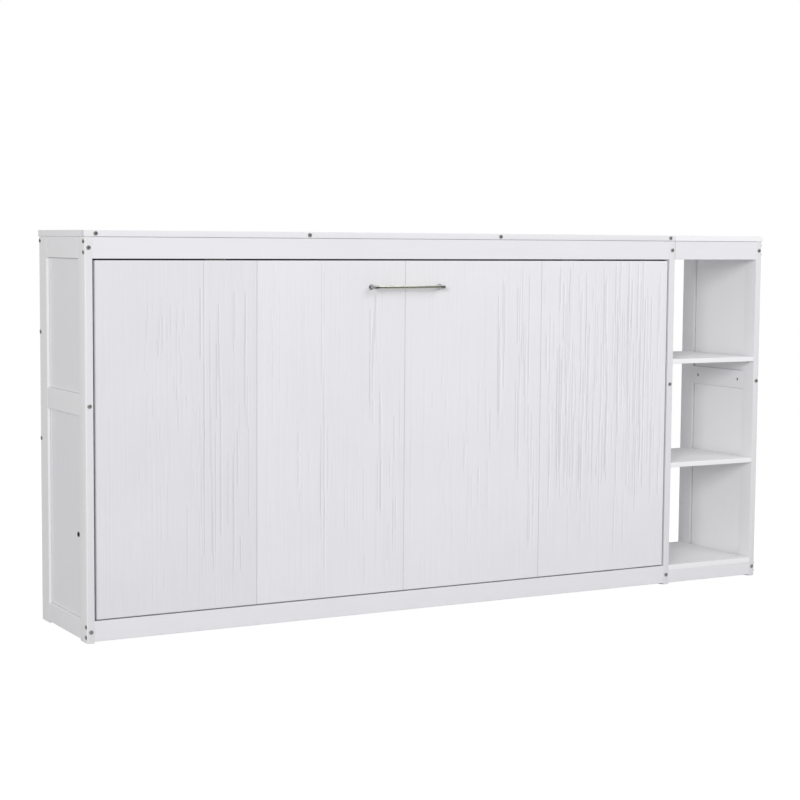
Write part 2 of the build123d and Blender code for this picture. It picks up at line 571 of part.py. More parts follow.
with BuildPart() as handle_bar:
    bar_start_x = HANDLE_POSTS[0][0] + FERRULE_INWARD
    with BuildSketch(Plane(origin=(bar_start_x, HANDLE_BAR_Y, HANDLE_Z), z_dir=(1, 0, 0))):
        Circle(HANDLE_BAR_RADIUS - FERRULE_WALL)
    extrude(amount=HANDLE_POST_SPACING - 2 * FERRULE_INWARD)
pieces["handle_bar"] = handle_bar

with BuildPart() as handle_posts:
    for post_x, towards_bar in HANDLE_POSTS:
        post_plane = Plane(origin=(post_x, FRONT_Y, HANDLE_Z), z_dir=(0, -1, 0))
        with BuildSketch(post_plane):
            Circle(ROSETTE_RADIUS)
        extrude(amount=ROSETTE_HEIGHT)
        with BuildSketch(post_plane):
            Circle(NECK_RADIUS)
        extrude(amount=HANDLE_STAND_OFF)
        ferrule_start_x = post_x - towards_bar * FERRULE_OUTWARD
        ferrule_plane = Plane(origin=(ferrule_start_x, HANDLE_BAR_Y, HANDLE_Z), z_dir=(towards_bar, 0, 0))
        with BuildSketch(ferrule_plane):
            Circle(HANDLE_BAR_RADIUS)
        extrude(amount=FERRULE_OUTWARD + FERRULE_INWARD)
    rosette_rims = handle_posts.edges().filter_by(GeomType.CIRCLE).filter_by(
        lambda edge: edge.radius == ROSETTE_RADIUS and edge.center().Y < FRONT_Y - ROSETTE_EASE
    )
    fillet(rosette_rims, radius=ROSETTE_EASE)
pieces["handle_posts"] = handle_posts


# ------------------------------------------------ legs that hang from the bed's outer corners
LEG_HOLE_RADIUS = LEG_PIN_RADIUS + RUNNING_CLEARANCE
LEG_BAR_DROP = LEG_DROP - 3.0  # the rubber foot closes the last of the drop


def leg_x(inward, outer_x, start, thickness):
    """A span of X inside the bed cabinet, counted inwards from one of its side frames' inner faces."""
    near = outer_x + inward * (FRAME_THICKNESS + start)
    far = near + inward * thickness
    return (min(near, far), max(near, far))


def fold_leg(inward, outer_x):
    """A flat steel leg with a round top end, bored for its pin."""
    x_span = leg_x(inward, outer_x, LEG_SIDE_GAP, LEG_THICKNESS)
    leg_plane = Plane(origin=(x_span[0], LEG_CENTRE_Y, LEG_PIVOT_Z), x_dir=(0, 1, 0), z_dir=(1, 0, 0))
    with BuildPart() as leg:
        with BuildSketch(leg_plane):
            Circle(LEG_WIDTH / 2)
            with Locations((0, -LEG_BAR_DROP / 2)):
                Rectangle(LEG_WIDTH, LEG_BAR_DROP)
            Circle(LEG_HOLE_RADIUS, mode=Mode.SUBTRACT)
        extrude(amount=LEG_THICKNESS)
    return leg


def leg_foot(inward, outer_x):
    """A rubber foot pulled over the leg's lower end."""
    outer = leg_x(inward, outer_x, LEG_SIDE_GAP - LEG_FOOT_WALL, LEG_THICKNESS + 2 * LEG_FOOT_WALL)
    inner = leg_x(inward, outer_x, LEG_SIDE_GAP, LEG_THICKNESS)
    foot_z = LEG_PIVOT_Z - LEG_DROP
    with BuildPart() as foot:
        with BuildSketch(Plane.XY.offset(foot_z)):
            with Locations((middle(outer), LEG_CENTRE_Y)):
                Rectangle(size(outer), LEG_WIDTH + 2 * LEG_FOOT_WALL)
        extrude(amount=LEG_FOOT_HEIGHT)
        with BuildSketch(Plane.XY.offset(LEG_PIVOT_Z - LEG_BAR_DROP)):
            with Locations((middle(inner), LEG_CENTRE_Y)):
                Rectangle(size(inner), LEG_WIDTH)
        extrude(amount=LEG_FOOT_HEIGHT, mode=Mode.SUBTRACT)
    return foot


for side_name, (outer_x, inward) in PIVOT_SIDES.items():
    pieces[f"{side_name}_leg"] = fold_leg(inward, outer_x)
    pieces[f"{side_name}_leg_foot"] = leg_foot(inward, outer_x)

LEG_PIN_HEAD_RADIUS = 10.0
LEG_SPACER_RADIUS = 9.0
LEG_END_PLAY = 0.3
with BuildPart() as leg_pins:
    for outer_x, inward in PIVOT_SIDES.values():
        head_x = outer_x + inward * (FRAME_THICKNESS + LEG_SIDE_GAP - LEG_END_PLAY - LEG_PIN_HEAD_THICKNESS)
        spacer_x = outer_x + inward * (FRAME_THICKNESS + LEG_SIDE_GAP + LEG_THICKNESS + LEG_END_PLAY)
        rail_x = outer_x + inward * (FRAME_THICKNESS + BED_GAP + BED_RAIL_INSET)
        for start_x, radius, end_x in (
            (head_x, LEG_PIN_HEAD_RADIUS, head_x + inward * LEG_PIN_HEAD_THICKNESS),
            (head_x, LEG_PIN_RADIUS, rail_x + inward * LEG_PIN_DEPTH),
            (spacer_x, LEG_SPACER_RADIUS, rail_x),
        ):
            with BuildSketch(Plane(origin=(start_x, LEG_CENTRE_Y, LEG_PIVOT_Z), z_dir=(inward, 0, 0))):
                Circle(radius)
            extrude(amount=abs(end_x - start_x))
pieces["leg_pins"] = leg_pins

# ---------------------------------------------------------------- write every node
os.makedirs("parts", exist_ok=True)
for node_name, piece in pieces.items():
    piece.part.label = node_name
    export_step(piece.part, f"parts/{node_name}.step")
print(len(pieces), "nodes written")
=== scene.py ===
import json
import logging
import math
from dataclasses import dataclass, field
from enum import Enum

import bpy
import numpy as np
from mathutils import Matrix, Vector


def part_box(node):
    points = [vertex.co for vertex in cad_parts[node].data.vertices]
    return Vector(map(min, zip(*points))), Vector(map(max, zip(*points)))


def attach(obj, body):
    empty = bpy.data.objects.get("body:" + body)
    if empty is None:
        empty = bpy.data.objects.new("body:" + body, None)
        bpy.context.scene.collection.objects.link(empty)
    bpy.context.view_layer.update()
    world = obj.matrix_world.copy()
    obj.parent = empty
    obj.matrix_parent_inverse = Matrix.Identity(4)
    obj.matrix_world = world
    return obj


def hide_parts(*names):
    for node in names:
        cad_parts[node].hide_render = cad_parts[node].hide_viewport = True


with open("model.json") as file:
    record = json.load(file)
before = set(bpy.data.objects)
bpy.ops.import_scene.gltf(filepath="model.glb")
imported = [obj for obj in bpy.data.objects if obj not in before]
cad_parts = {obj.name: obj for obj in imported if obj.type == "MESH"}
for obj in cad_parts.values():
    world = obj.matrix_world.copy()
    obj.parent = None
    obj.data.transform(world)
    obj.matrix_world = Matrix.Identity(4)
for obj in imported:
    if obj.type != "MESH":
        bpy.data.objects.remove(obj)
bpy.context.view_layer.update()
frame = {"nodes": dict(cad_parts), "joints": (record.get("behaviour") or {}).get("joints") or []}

LOG = logging.getLogger("wall_bed")
MM = 0.001
SMOOTH_ANGLE = math.radians(32)
QUARTER_TURN = math.pi / 2
FULL_TURN = 2 * math.pi

Pair = tuple[float, float]
Triple = tuple[float, float, float]
Seat = tuple[Triple, Triple]
Seam = tuple[str, float, float]
Socket = bpy.types.NodeSocket


# ------------------------------------------------------------------------------------------ mesh tools
@dataclass
class Skin:
    """A surface as whole arrays: its points, and its faces by corner count."""

    points: np.ndarray
    faces: list[np.ndarray]

    def placed(self, origins: np.ndarray, frames: np.ndarray) -> "Skin":
        """Copies the surface to many places.

        Formula: point * frame + origin, where a frame's rows are the copy's x, y and z directions.

        Args:
            origins: one origin per copy, as (copies, 3).
            frames: one frame per copy, as (copies, 3, 3).

        Returns:
            One surface that holds every copy.
        """
        moved = np.einsum("vi,cij->cvj", self.points, frames) + origins[:, None, :]
        shift = np.arange(len(origins))[:, None, None] * len(self.points)
        faces = [(part[None] + shift).reshape(-1, part.shape[1]) for part in self.faces]
        return Skin(moved.reshape(-1, 3), faces)

    def seated(self, seats: list[Seat]) -> "Skin":
        """Copies the surface to each seat, its z turned along the seat's way and its x kept level.

        Args:
            seats: each copy's origin, and the unit way that it faces.

        Returns:
            One surface that holds every copy.
        """
        origins, ways = (np.array(side, float) for side in zip(*seats))
        level = np.cross((0.0, 0.0, 1.0), ways)
        return self.placed(origins, np.stack([level, np.cross(ways, level), ways], axis=1))


def joined(skins: list[Skin]) -> Skin:
    """Puts several surfaces into one, with their face numbers shifted.

    Args:
        skins: the surfaces.

    Returns:
        The one surface.
    """
    starts = np.cumsum([0] + [len(skin.points) for skin in skins[:-1]])
    faces = [part + start for skin, start in zip(skins, starts) for part in skin.faces]
    return Skin(np.concatenate([skin.points for skin in skins]), faces)


def tube_quads(rings: int, segments: int, first: int = 0, closed: bool = False) -> np.ndarray:
    """Numbers the quads of a stack of rings.

    Args:
        rings: how many rings are stacked.
        segments: points on each ring.
        first: number of the first ring's first point.
        closed: whether the last ring joins the first, as on a washer.

    Returns:
        The quads as (faces, 4).
    """
    row = np.arange(rings if closed else rings - 1)[:, None]
    column = np.arange(segments)[None, :]
    after = (column + 1) % segments
    above = (row + 1) % rings
    start, over = row * segments, above * segments
    corners = [start + column, start + after, over + after, over + column]
    return np.stack(corners, axis=-1).reshape(-1, 4) + first


def fan(hub: int, ring: np.ndarray) -> np.ndarray:
    """The triangles from a middle point to each side of a closed ring of points."""
    return np.stack([np.full(len(ring), hub), ring, np.roll(ring, -1)], axis=-1)


@dataclass(frozen=True)
class Ring:
    """One ring of a turned solid: its two half widths, its height, and how hexagonal it is, from 0 to 1."""

    x_radius: float
    y_radius: float
    height: float
    hexness: float = 0.0


def rounds(radius: float, *rows: tuple[float, ...]) -> list[Ring]:
    """Round rings of one part of a turned solid.

    Args:
        radius: of that part, in metres.
        rows: for each ring its share of the radius, its height in millimetres and, if not 0, its hexness.

    Returns:
        The rings in the same order.
    """
    return [Ring(radius * share, radius * share, height * MM, *rest) for share, height, *rest in rows]


def turned(rings: list[Ring], segments: int = 36, bored: bool = False) -> Skin:
    """A solid of stacked rings, as on a lathe, whose rings may also be oval or six-sided.

    Formula: a ring's point is (x_radius * cos t * m, y_radius * sin t * m, height), where m goes from 1 to
    cos 30 / cos(t folded into -30..30 degrees), which makes a circle a hexagon of the same corners.

    Args:
        rings: from one end to the other; unless bored, the first and last are closed by a point.
        segments: points on each ring.
        bored: whether the last ring joins the first, which leaves a hole along the axis.

    Returns:
        The closed surface, with its faces outwards when the rings rise along +z.
    """
    turn = np.linspace(0.0, FULL_TURN, segments, endpoint=False)
    sixth = FULL_TURN / 6
    folded = (turn + sixth / 2) % sixth - sixth / 2
    hexagon = math.cos(sixth / 2) / np.cos(folded)
    table = np.array([(r.x_radius, r.y_radius, r.height, r.hexness) for r in rings])
    reach = 1 + table[:, 3:4] * (hexagon[None] - 1)
    x = table[:, 0:1] * np.cos(turn) * reach
    y = table[:, 1:2] * np.sin(turn) * reach
    z = np.broadcast_to(table[:, 2:3], x.shape)
    points = np.stack([x, y, z], axis=-1).reshape(-1, 3)
    if bored:
        return Skin(points, [tube_quads(len(rings), segments, closed=True)])
    ends = np.array([(0.0, 0.0, rings[0].height), (0.0, 0.0, rings[-1].height)])
    column = np.arange(segments)
    count = len(points)
    start_fan = fan(count, column)[:, [0, 2, 1]]
    end_fan = fan(count + 1, count - segments + column)
    return Skin(np.concatenate([points, ends]), [tube_quads(len(rings), segments), start_fan, end_fan])


def eased_post(
    low: Triple, high: Triple, corner_radii: tuple[float, ...], end_radius: float, steps: int, least_arc: float
) -> Skin:
    """An upright board whose four long edges are each rounded by their own radius, and its ends by another.

    Formula: each level is a rounded rectangle; towards either end it draws in by radius * (1 - sin a) while
    it moves by radius * (1 - cos a). A corner's arc is its radius less what the level has drawn in.

    Args:
        low: its lowest corner, in metres.
        high: its highest corner, in metres.
        corner_radii: of the edges at (+x +y), (-x +y), (-x -y) and (+x -y).
        end_radius: of the edges round its two ends.
        steps: divisions of a quarter turn.
        least_arc: the radius that no corner's arc goes under.

    Returns:
        The closed surface.
    """
    low_corner, high_corner = np.array(low), np.array(high)
    half, centre = (high_corner - low_corner) / 2, (high_corner + low_corner) / 2
    quarter = np.linspace(0.0, QUARTER_TURN, steps + 1)
    corner_turn = (quarter[None] + QUARTER_TURN * np.arange(4)[:, None]).ravel()
    signs = np.repeat(np.array([(1, 1), (-1, 1), (-1, -1), (1, -1)]), steps + 1, axis=0)
    radii = np.repeat(np.array(corner_radii), steps + 1)
    drawn_in = end_radius * (1 - np.sin(quarter))
    rise = end_radius * (1 - np.cos(quarter))
    inset = np.concatenate([drawn_in, drawn_in[::-1]])[:, None]
    level = np.concatenate([-half[2] + rise, half[2] - rise[::-1]])
    arc = np.maximum(radii[None] - inset, least_arc)
    reach = half[None, None, :2] - (inset + arc)[:, :, None]
    bend = np.stack([np.cos(corner_turn), np.sin(corner_turn)], axis=-1)[None] * arc[:, :, None]
    outline = signs[None] * reach + bend
    segments = len(corner_turn)
    heights = np.broadcast_to(level[:, None, None], outline.shape[:2] + (1,))
    points = np.concatenate([outline, heights], axis=-1).reshape(-1, 3) + centre
    cap = np.arange(segments)[None]
    return Skin(points, [tube_quads(len(level), segments), cap[:, ::-1], cap + len(points) - segments])


def eased_block(low: Triple, high: Triple, radius: float, steps: int = 4) -> Skin:
    """A block with all its edges rounded alike.

    Args:
        low: its lowest corner, in metres.
        high: its highest corner, in metres.
        radius: of the edges, in metres.
        steps: divisions of a quarter turn.

    Returns:
        The closed surface.
    """
    return eased_post(low, high, (radius,) * 4, radius, steps, least_arc=0.0)


def make_piece(
    name: str, skin: Skin, body: str, finish: "Finish", replaced: tuple[str, ...] = ()
) -> bpy.types.Object:
    """Makes a finished object of a surface, at the origin, sets it on its body and hides the CAD nodes that it stands
    for.

    Args:
        name: the piece's name.
        skin: its surface, in metres in the row frame.
        body: the body that it moves with.
        finish: its material.
        replaced: the CAD nodes that it stands for.

    Returns:
        The object.
    """
    mesh = bpy.data.meshes.new(name)
    faces = [face for part in skin.faces for face in part.tolist()]
    mesh.from_pydata(skin.points.tolist(), [], faces)
    mesh.shade_smooth()
    mesh.set_sharp_from_angle(angle=SMOOTH_ANGLE)
    mesh.validate()
    piece = bpy.data.objects.new(name, mesh)
    bpy.context.scene.collection.objects.link(piece)
    mesh.materials.append(finish.material())
    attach(piece, body)
    if replaced:
        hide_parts(*replaced)
    LOG.info("%s: %d points on %s, %s", name, len(skin.points), body, finish.name)
    return piece


def centre_of(node: str) -> Vector:
    """The middle of a CAD node's box."""
    low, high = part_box(node)
    return (low + high) / 2


# ------------------------------------------------------------------------------------------ shader tools
class Wires:
    """Adds nodes to one node tree and joins them."""

    def __init__(self, tree: bpy.types.NodeTree) -> None:
        """Keeps the tree, which has been emptied by its maker."""
        self.tree = tree

    def put(self, socket: Socket, value: object) -> None:
        """Joins another socket to this one, or sets it to a plain value."""
        if isinstance(value, Socket):
            self.tree.links.new(value, socket)
        else:
            socket.default_value = value

    def node(self, kind: str, inputs: dict[str | int, object] | None = None, **settings: object) -> bpy.types.Node:
        """Adds a node.

        Args:
            kind: the node's type name.
            inputs: sockets to join or values to set, by input name or number.
            settings: the node's own properties, which are set first, because they can make its inputs.

        Returns:
            The node.
        """
        made = self.tree.nodes.new(kind)
        for key, value in settings.items():
            setattr(made, key, value)
        for key, value in (inputs or {}).items():
            self.put(made.inputs[key], value)
        return made

    def join(self, node: bpy.types.Node, **sockets: Socket) -> None:
        """Joins sockets to a node's inputs, by name with _ for a space."""
        for name, socket in sockets.items():
            self.put(node.inputs[name.replace("_", " ")], socket)

    def place(self) -> Socket:
        """The point's place in the object."""
        return self.node("ShaderNodeTexCoord").outputs["Object"]

    def axes(self, vector: Socket) -> bpy.types.bpy_prop_collection:
        """A vector's parts, by the names X, Y and Z."""
        return self.node("ShaderNodeSeparateXYZ", {0: vector}).outputs

    def math(self, operation: str, first: object, second: object = 0.0) -> Socket:
        """One Math node's result."""
        return self.node("ShaderNodeMath", {0: first, 1: second}, operation=operation).outputs[0]

    def vector(self, operation: str, inputs: dict[str | int, object], output: str = "Vector") -> Socket:
        """One Vector Math node's result."""
        return self.node("ShaderNodeVectorMath", inputs, operation=operation).outputs[output]

    def weighed(self, *terms: tuple[Socket, float]) -> Socket:
        """The sum of sockets, each times its own weight."""
        total, *rest = (self.math("MULTIPLY", socket, weight) for socket, weight in terms)
        for term in rest:
            total = self.math("ADD", total, term)
        return total

    def stretch(self, value: object, low: float, high: float, to_low: float = 0.0, to_high: float = 1.0) -> Socket:
        """A Map Range node's result, held within its new limits."""
        inputs = {"Value": value, "From Min": low, "From Max": high, "To Min": to_low, "To Max": to_high}
        return self.node("ShaderNodeMapRange", inputs).outputs["Result"]

    def mix_colour(self, factor: object, first: object, second: object) -> Socket:
        """A colour between two, by a factor."""
        return self.node("ShaderNodeMix", {0: factor, 6: first, 7: second}, data_type="RGBA").outputs[2]

    def noise(self, vector: Socket, scale: object, detail: float) -> Socket:
        """A noise value, from 0 to 1."""
        return self.node("ShaderNodeTexNoise", {"Vector": vector, "Scale": scale, "Detail": detail}).outputs["Fac"]

    def bump(self, height: Socket, strength: float, distance: float, under: Socket | None = None) -> Socket:
        """A Bump node's normal, over another one if it is given."""
        inputs = {"Strength": strength, "Distance": distance, "Height": height}
        if under is not None:
            inputs["Normal"] = under
        return self.node("ShaderNodeBump", inputs).outputs["Normal"]


def emptied(owner: bpy.types.Material | bpy.types.World) -> Wires:
    """The wires of a material or a world, whose own nodes are cleared."""
    owner.use_nodes = True
    owner.node_tree.nodes.clear()
    return Wires(owner.node_tree)


NUMBER = "NodeSocketFloat"
TRIPLE = "NodeSocketVector"


def new_group(
    name: str, inputs: dict[str, str], outputs: tuple[str, ...]
) -> tuple[Wires, dict[str, Socket], bpy.types.Node]:
    """Starts a shader node group.

    Args:
        name: the group's name.
        inputs: socket type by input name.
        outputs: the names of its outputs, which are all numbers.

    Returns:
        The group's wires, its input sockets by name, and its output node.
    """
    tree = bpy.data.node_groups.new(name, "ShaderNodeTree")
    for socket_name, kind in inputs.items():
        tree.interface.new_socket(name=socket_name, in_out="INPUT", socket_type=kind)
    for socket_name in outputs:
        tree.interface.new_socket(name=socket_name, in_out="OUTPUT", socket_type=NUMBER)
    wires = Wires(tree)
    start = wires.node("NodeGroupInput")
    end = wires.node("NodeGroupOutput")
    return wires, {socket.name: socket for socket in start.outputs if socket.name}, end


def build_long_grain(waver_scale: float = 3.0, broad_share: float = 0.22) -> bpy.types.NodeTree:
    """Streaks drawn out along one direction: fine pores over broad bands.

    Args:
        waver_scale: scale of the noise that bends the streaks.
        broad_share: the broad bands' fineness, as a share of the pores'.

    Returns:
        The group, with inputs Squeeze, Fineness and Waver and outputs Streak and Height.
    """
    inputs = {"Squeeze": TRIPLE, "Fineness": NUMBER, "Waver": NUMBER}
    wires, given, end = new_group("LongGrain", inputs, ("Streak", "Height"))
    place = wires.place()
    waver = wires.node("ShaderNodeTexNoise", {"Vector": place, "Scale": waver_scale, "Detail": 1.0}).outputs["Color"]
    centred = wires.vector("SUBTRACT", {0: waver, 1: (0.5, 0.5, 0.5)})
    pushed = wires.vector("SCALE", {0: centred, "Scale": given["Waver"]})
    bent = wires.vector("ADD", {0: place, 1: pushed})
    drawn = wires.node("ShaderNodeMapping", {"Vector": bent, "Scale": given["Squeeze"]}).outputs["Vector"]
    streak = wires.stretch(wires.noise(drawn, given["Fineness"], 4.0), 0.35, 0.7)
    slower = wires.math("MULTIPLY", given["Fineness"], broad_share)
    band = wires.stretch(wires.noise(drawn, slower, 2.0), 0.3, 0.7)
    wires.join(end, Streak=streak, Height=wires.weighed((streak, 0.6), (band, 0.4)))
    return wires.tree


def build_paint_film() -> bpy.types.NodeTree:
    """A sprayed film: soft clouds of tone, and the fine dimpling that spray leaves.

    Returns:
        The group, with inputs Cloud and Dimple and outputs Tone, Gloss and Height.
    """
    wires, given, end = new_group("PaintFilm", {"Cloud": NUMBER, "Dimple": NUMBER}, ("Tone", "Gloss", "Height"))
    place = wires.place()
    clouds = wires.noise(place, given["Cloud"], 3.0)
    dimples = wires.noise(place, given["Dimple"], 2.0)
    gloss = wires.weighed((clouds, 0.6), (dimples, 0.4))
    wires.join(end, Tone=wires.stretch(clouds, 0.3, 0.7), Gloss=gloss, Height=dimples)
    return wires.tree


def build_worn_metal() -> bpy.types.NodeTree:
    """Plated metal: tarnish clouds, and short scratches all ways.

    Returns:
        The group, with input Size and outputs Tarnish, Scratch and Height.
    """
    wires, given, end = new_group("WornMetal", {"Size": NUMBER}, ("Tarnish", "Scratch", "Height"))
    place = wires.place()
    tarnish = wires.noise(place, given["Size"], 5.0)
    thin = wires.node("ShaderNodeMapping", {"Vector": place, "Scale": (1.0, 6.0, 14.0), "Rotation": (0.5, 0.3, 0.7)})
    faster = wires.math("MULTIPLY", given["Size"], 3.0)
    scratch = wires.stretch(wires.noise(thin.outputs["Vector"], faster, 3.0), 0.55, 0.75)
    height = wires.math("SUBTRACT", wires.math("MULTIPLY", tarnish, 0.3), scratch)
    wires.join(end, Tarnish=tarnish, Scratch=scratch, Height=height)
    return wires.tree


GROUPS = {tree.name: tree for tree in (build_long_grain(), build_paint_film(), build_worn_metal())}
MADE: dict[str, bpy.types.Material] = {}


def effect(wires: Wires, name: str, **inputs: object) -> bpy.types.bpy_prop_collection:
    """The outputs of one of the shared effects, placed in a material."""
    return wires.node("ShaderNodeGroup", inputs, node_tree=GROUPS[name]).outputs


class GrainWay(Enum):
    """The direction a board's grain runs, as the squeeze that draws noise out along it."""

    ALONG_X = (0.035, 1.0, 1.0)
    ALONG_Y = (1.0, 0.035, 1.0)
    ALONG_Z = (1.0, 1.0, 0.035)


@dataclass(frozen=True)
class Finish:
    """A surface finish: its name and its two end colours, with what every finish does to make a material."""

    name: str
    light: Triple
    dark: Triple

    def material(self) -> bpy.types.Material:
        """The finish's material, made the first time it is asked for."""
        if self.name not in MADE:
            MADE[self.name] = bpy.data.materials.new(self.name)
            wires = emptied(MADE[self.name])
            shader = wires.node("ShaderNodeBsdfPrincipled")
            wires.node("ShaderNodeOutputMaterial", {"Surface": shader.outputs[0]})
            self.fill(wires, shader)
        return MADE[self.name]

    def fill(self, wires: Wires, shader: bpy.types.Node) -> None:
        """Joins the finish's own nodes to the shader; each kind of finish has its own."""
        raise NotImplementedError

    def tint(self, wires: Wires, tone: object) -> Socket:
        """The colour at a tone, from 0 at the light end to 1 at the dark one."""
        return wires.mix_colour(tone, rgba(self.light), rgba(self.dark))


def rgba(colour: Triple) -> tuple[float, float, float, float]:
    """A colour with full alpha."""
    return (*colour, 1.0)


@dataclass(frozen=True)
class PaintedWood(Finish):
    """Satin paint over smooth wood, whose grain shows through a little along one way."""

    way: GrainWay = GrainWay.ALONG_Z
    roughness: float = 0.42
    relief: float = 0.06 * MM

    def fill(self, wires: Wires, shader: bpy.types.Node) -> None:
        """Tone from the film and the grain; roughness from the film; bump from both."""
        grain = effect(wires, "LongGrain", Squeeze=self.way.value, Fineness=95.0, Waver=0.01)
        film = effect(wires, "PaintFilm", Cloud=5.0, Dimple=900.0)
        tone = wires.weighed((grain["Streak"], 0.35), (film["Tone"], 0.5))
        colour = self.seam_shadowed(wires, self.tint(wires, tone))
        gloss = wires.stretch(film["Gloss"], 0.3, 0.7, self.roughness - 0.05, self.roughness + 0.07)
        grain_normal = wires.bump(grain["Height"], 0.5, self.relief)
        normal = wires.bump(film["Height"], 0.25, 0.02 * MM, grain_normal)
        wires.join(shader, Base_Color=colour, Roughness=gloss, Normal=normal)

    def seam_shadowed(self, wires: Wires, colour: Socket) -> Socket:
        """The colour with painted shadow lines where the board meets its neighbours; plain paint has none."""
        return colour


@dataclass(frozen=True)
class SeamShadowPaint(PaintedWood):
    """Paint with fine dark lines along the joints with other boards: painted shadow, where the gaps between boards
    lie in shade.

    Each seam is its axis, its place along that axis, and its width, in metres.
    """

    seams: tuple[Seam, ...] = ()
    # the colour of the painted shadow lines
    seam_shadow_colour: Triple = (0.22, 0.22, 0.235)
    strength: float = 0.85

    def seam_shadowed(self, wires: Wires, colour: Socket) -> Socket:
        """Paints shadow into the colour by the nearest seam, from its strength on the seam to nothing one width away.
        """
        axes = wires.axes(wires.place())
        mask = 0.0
        for axis, place, width in self.seams:
            away = wires.math("ABSOLUTE", wires.math("SUBTRACT", axes[axis], place))
            # mask: the painted shadow along the seams
            mask = wires.math("MAXIMUM", mask, wires.stretch(away, 0.0, width, self.strength, 0.0))
        return wires.mix_colour(mask, colour, rgba(self.seam_shadow_colour))


@dataclass(frozen=True)
class BrushedFront(Finish):
    """Paint over a brushed front board: painted shade, and duller, down in the grooves and at the plank joints, and a
    painted highlight on the grooves' raised lips.
    """

    roughness: float = 0.46
    flat_tone: float = 0.26

    def fill(self, wires: Wires, shader: bpy.types.Node) -> None:
        """Tone from the film, a fine grain and the piece's groove attribute, whose painted shade and highlight follow
        the relief; bump from fine pores only.
        """
        groove = wires.node("ShaderNodeAttribute", attribute_name="groove", attribute_type="GEOMETRY").outputs["Fac"]
        grain = effect(wires, "LongGrain", Squeeze=(1.0, 1.0, 0.02), Fineness=260.0, Waver=0.004)
        film = effect(wires, "PaintFilm", Cloud=4.0, Dimple=900.0)
        # the groove term paints shade into the grooves and joints and highlight on the lips; the relief itself is
        # geometry
        marks = wires.weighed((grain["Streak"], 0.10), (film["Tone"], 0.10), (groove, 0.55))
        colour = self.tint(wires, wires.math("ADD", marks, self.flat_tone))
        gloss = wires.stretch(groove, 0.0, 1.0, self.roughness, self.roughness + 0.12)
        grain_normal = wires.bump(grain["Height"], 0.4, 0.05 * MM)
        normal = wires.bump(film["Height"], 0.2, 0.02 * MM, grain_normal)
        wires.join(shader, Base_Color=colour, Roughness=gloss, Normal=normal)


@dataclass(frozen=True)
class BarePine(Finish):
    """Sanded pine: growth bands along its length, fine pores, and a slightly different tone in each slat."""

    way: GrainWay = GrainWay.ALONG_Z
    pitch: float = 0.0

    def fill(self, wires: Wires, shader: bpy.types.Node) -> None:
        """Growth bands from warped rings, pores from the long grain, and one random tone per slat."""
        place = wires.place()
        drawn = wires.node("ShaderNodeMapping", {"Vector": place, "Scale": self.way.value}).outputs["Vector"]
        warp = {"Vector": drawn, "Scale": 22.0, "Distortion": 7.0, "Detail": 2.0, "Detail Scale": 1.2}
        rings = wires.node("ShaderNodeTexWave", warp, wave_type="RINGS").outputs["Fac"]
        grain = effect(wires, "LongGrain", Squeeze=self.way.value, Fineness=220.0, Waver=0.01)
        tone = wires.weighed((wires.math("POWER", rings, 2.2), 0.55), (grain["Streak"], 0.3))
        if self.pitch:
            number = wires.math("FLOOR", wires.math("DIVIDE", wires.axes(place)["X"], self.pitch))
            chance = wires.node("ShaderNodeTexWhiteNoise", {"W": number}, noise_dimensions="1D").outputs["Value"]
            tone = wires.math("ADD", tone, wires.math("MULTIPLY", wires.math("SUBTRACT", chance, 0.5), 0.35))
        gloss = wires.stretch(grain["Streak"], 0.0, 1.0, 0.5, 0.68)
        normal = wires.bump(grain["Height"], 0.6, 0.1 * MM)
        wires.join(shader, Base_Color=self.tint(wires, tone), Roughness=gloss, Normal=normal)


@dataclass(frozen=True)
class PlatedMetal(Finish):
    """Plated steel or brass, or a coat on it: tarnish in clouds, and fine scratches."""

    roughness: float = 0.3
    size: float = 140.0
    metallic: float = 1.0

    def fill(self, wires: Wires, shader: bpy.types.Node) -> None:
        """Colour and roughness from tarnish and scratches, with a slight bump."""
        wires.put(shader.inputs["Metallic"], self.metallic)
        worn = effect(wires, "WornMetal", Size=self.size)
        tone = wires.stretch(worn["Tarnish"], 0.35, 0.65)
        gloss = wires.math("ADD", wires.weighed((tone, 0.12), (worn["Scratch"], 0.1)), self.roughness)
        normal = wires.bump(worn["Height"], 0.2, 0.02 * MM)
        wires.join(shader, Base_Color=self.tint(wires, tone), Roughness=gloss, Normal=normal)


@dataclass(frozen=True)
class MouldedSkin(Finish):
    """Moulded nylon, plastic or rubber: an even fine texture, slightly clouded."""

    roughness: float = 0.55
    grit: float = 1600.0

    def fill(self, wires: Wires, shader: bpy.types.Node) -> None:
        """Tone and roughness from the film, and bump from its grit."""
        film = effect(wires, "PaintFilm", Cloud=30.0, Dimple=self.grit)
        gloss = wires.stretch(film["Gloss"], 0.3, 0.7, self.roughness - 0.06, self.roughness + 0.08)
        normal = wires.bump(film["Height"], 0.5, 0.05 * MM)
        wires.join(shader, Base_Color=self.tint(wires, film["Tone"]), Roughness=gloss, Normal=normal)


WHITE = ((0.815, 0.812, 0.838), (0.785, 0.782, 0.812))
# a lighter copy of the white paint: painted light on the left side, the tops and the shelves
PAINTED_LIGHT_WHITE = ((0.90, 0.898, 0.912), (0.875, 0.873, 0.890))
# a lighter copy still: painted light in the shelf unit's shaded inside
PAINTED_LIGHT_SHELF_PANEL = ((0.93, 0.93, 0.94), (0.905, 0.905, 0.916))
# a lighter copy for the recessed panels: painted light
PAINTED_LIGHT_PANEL = ((0.865, 0.863, 0.885), (0.825, 0.823, 0.85))
PAINT = {way: PaintedWood(f"white_paint_{way.name.lower()}", *WHITE, way=way) for way in GrainWay}
PAINTED_LIGHT_PAINT = {way: PaintedWood(f"painted_light_paint_{way.name.lower()}", *PAINTED_LIGHT_WHITE, way=way) for way in GrainWay}
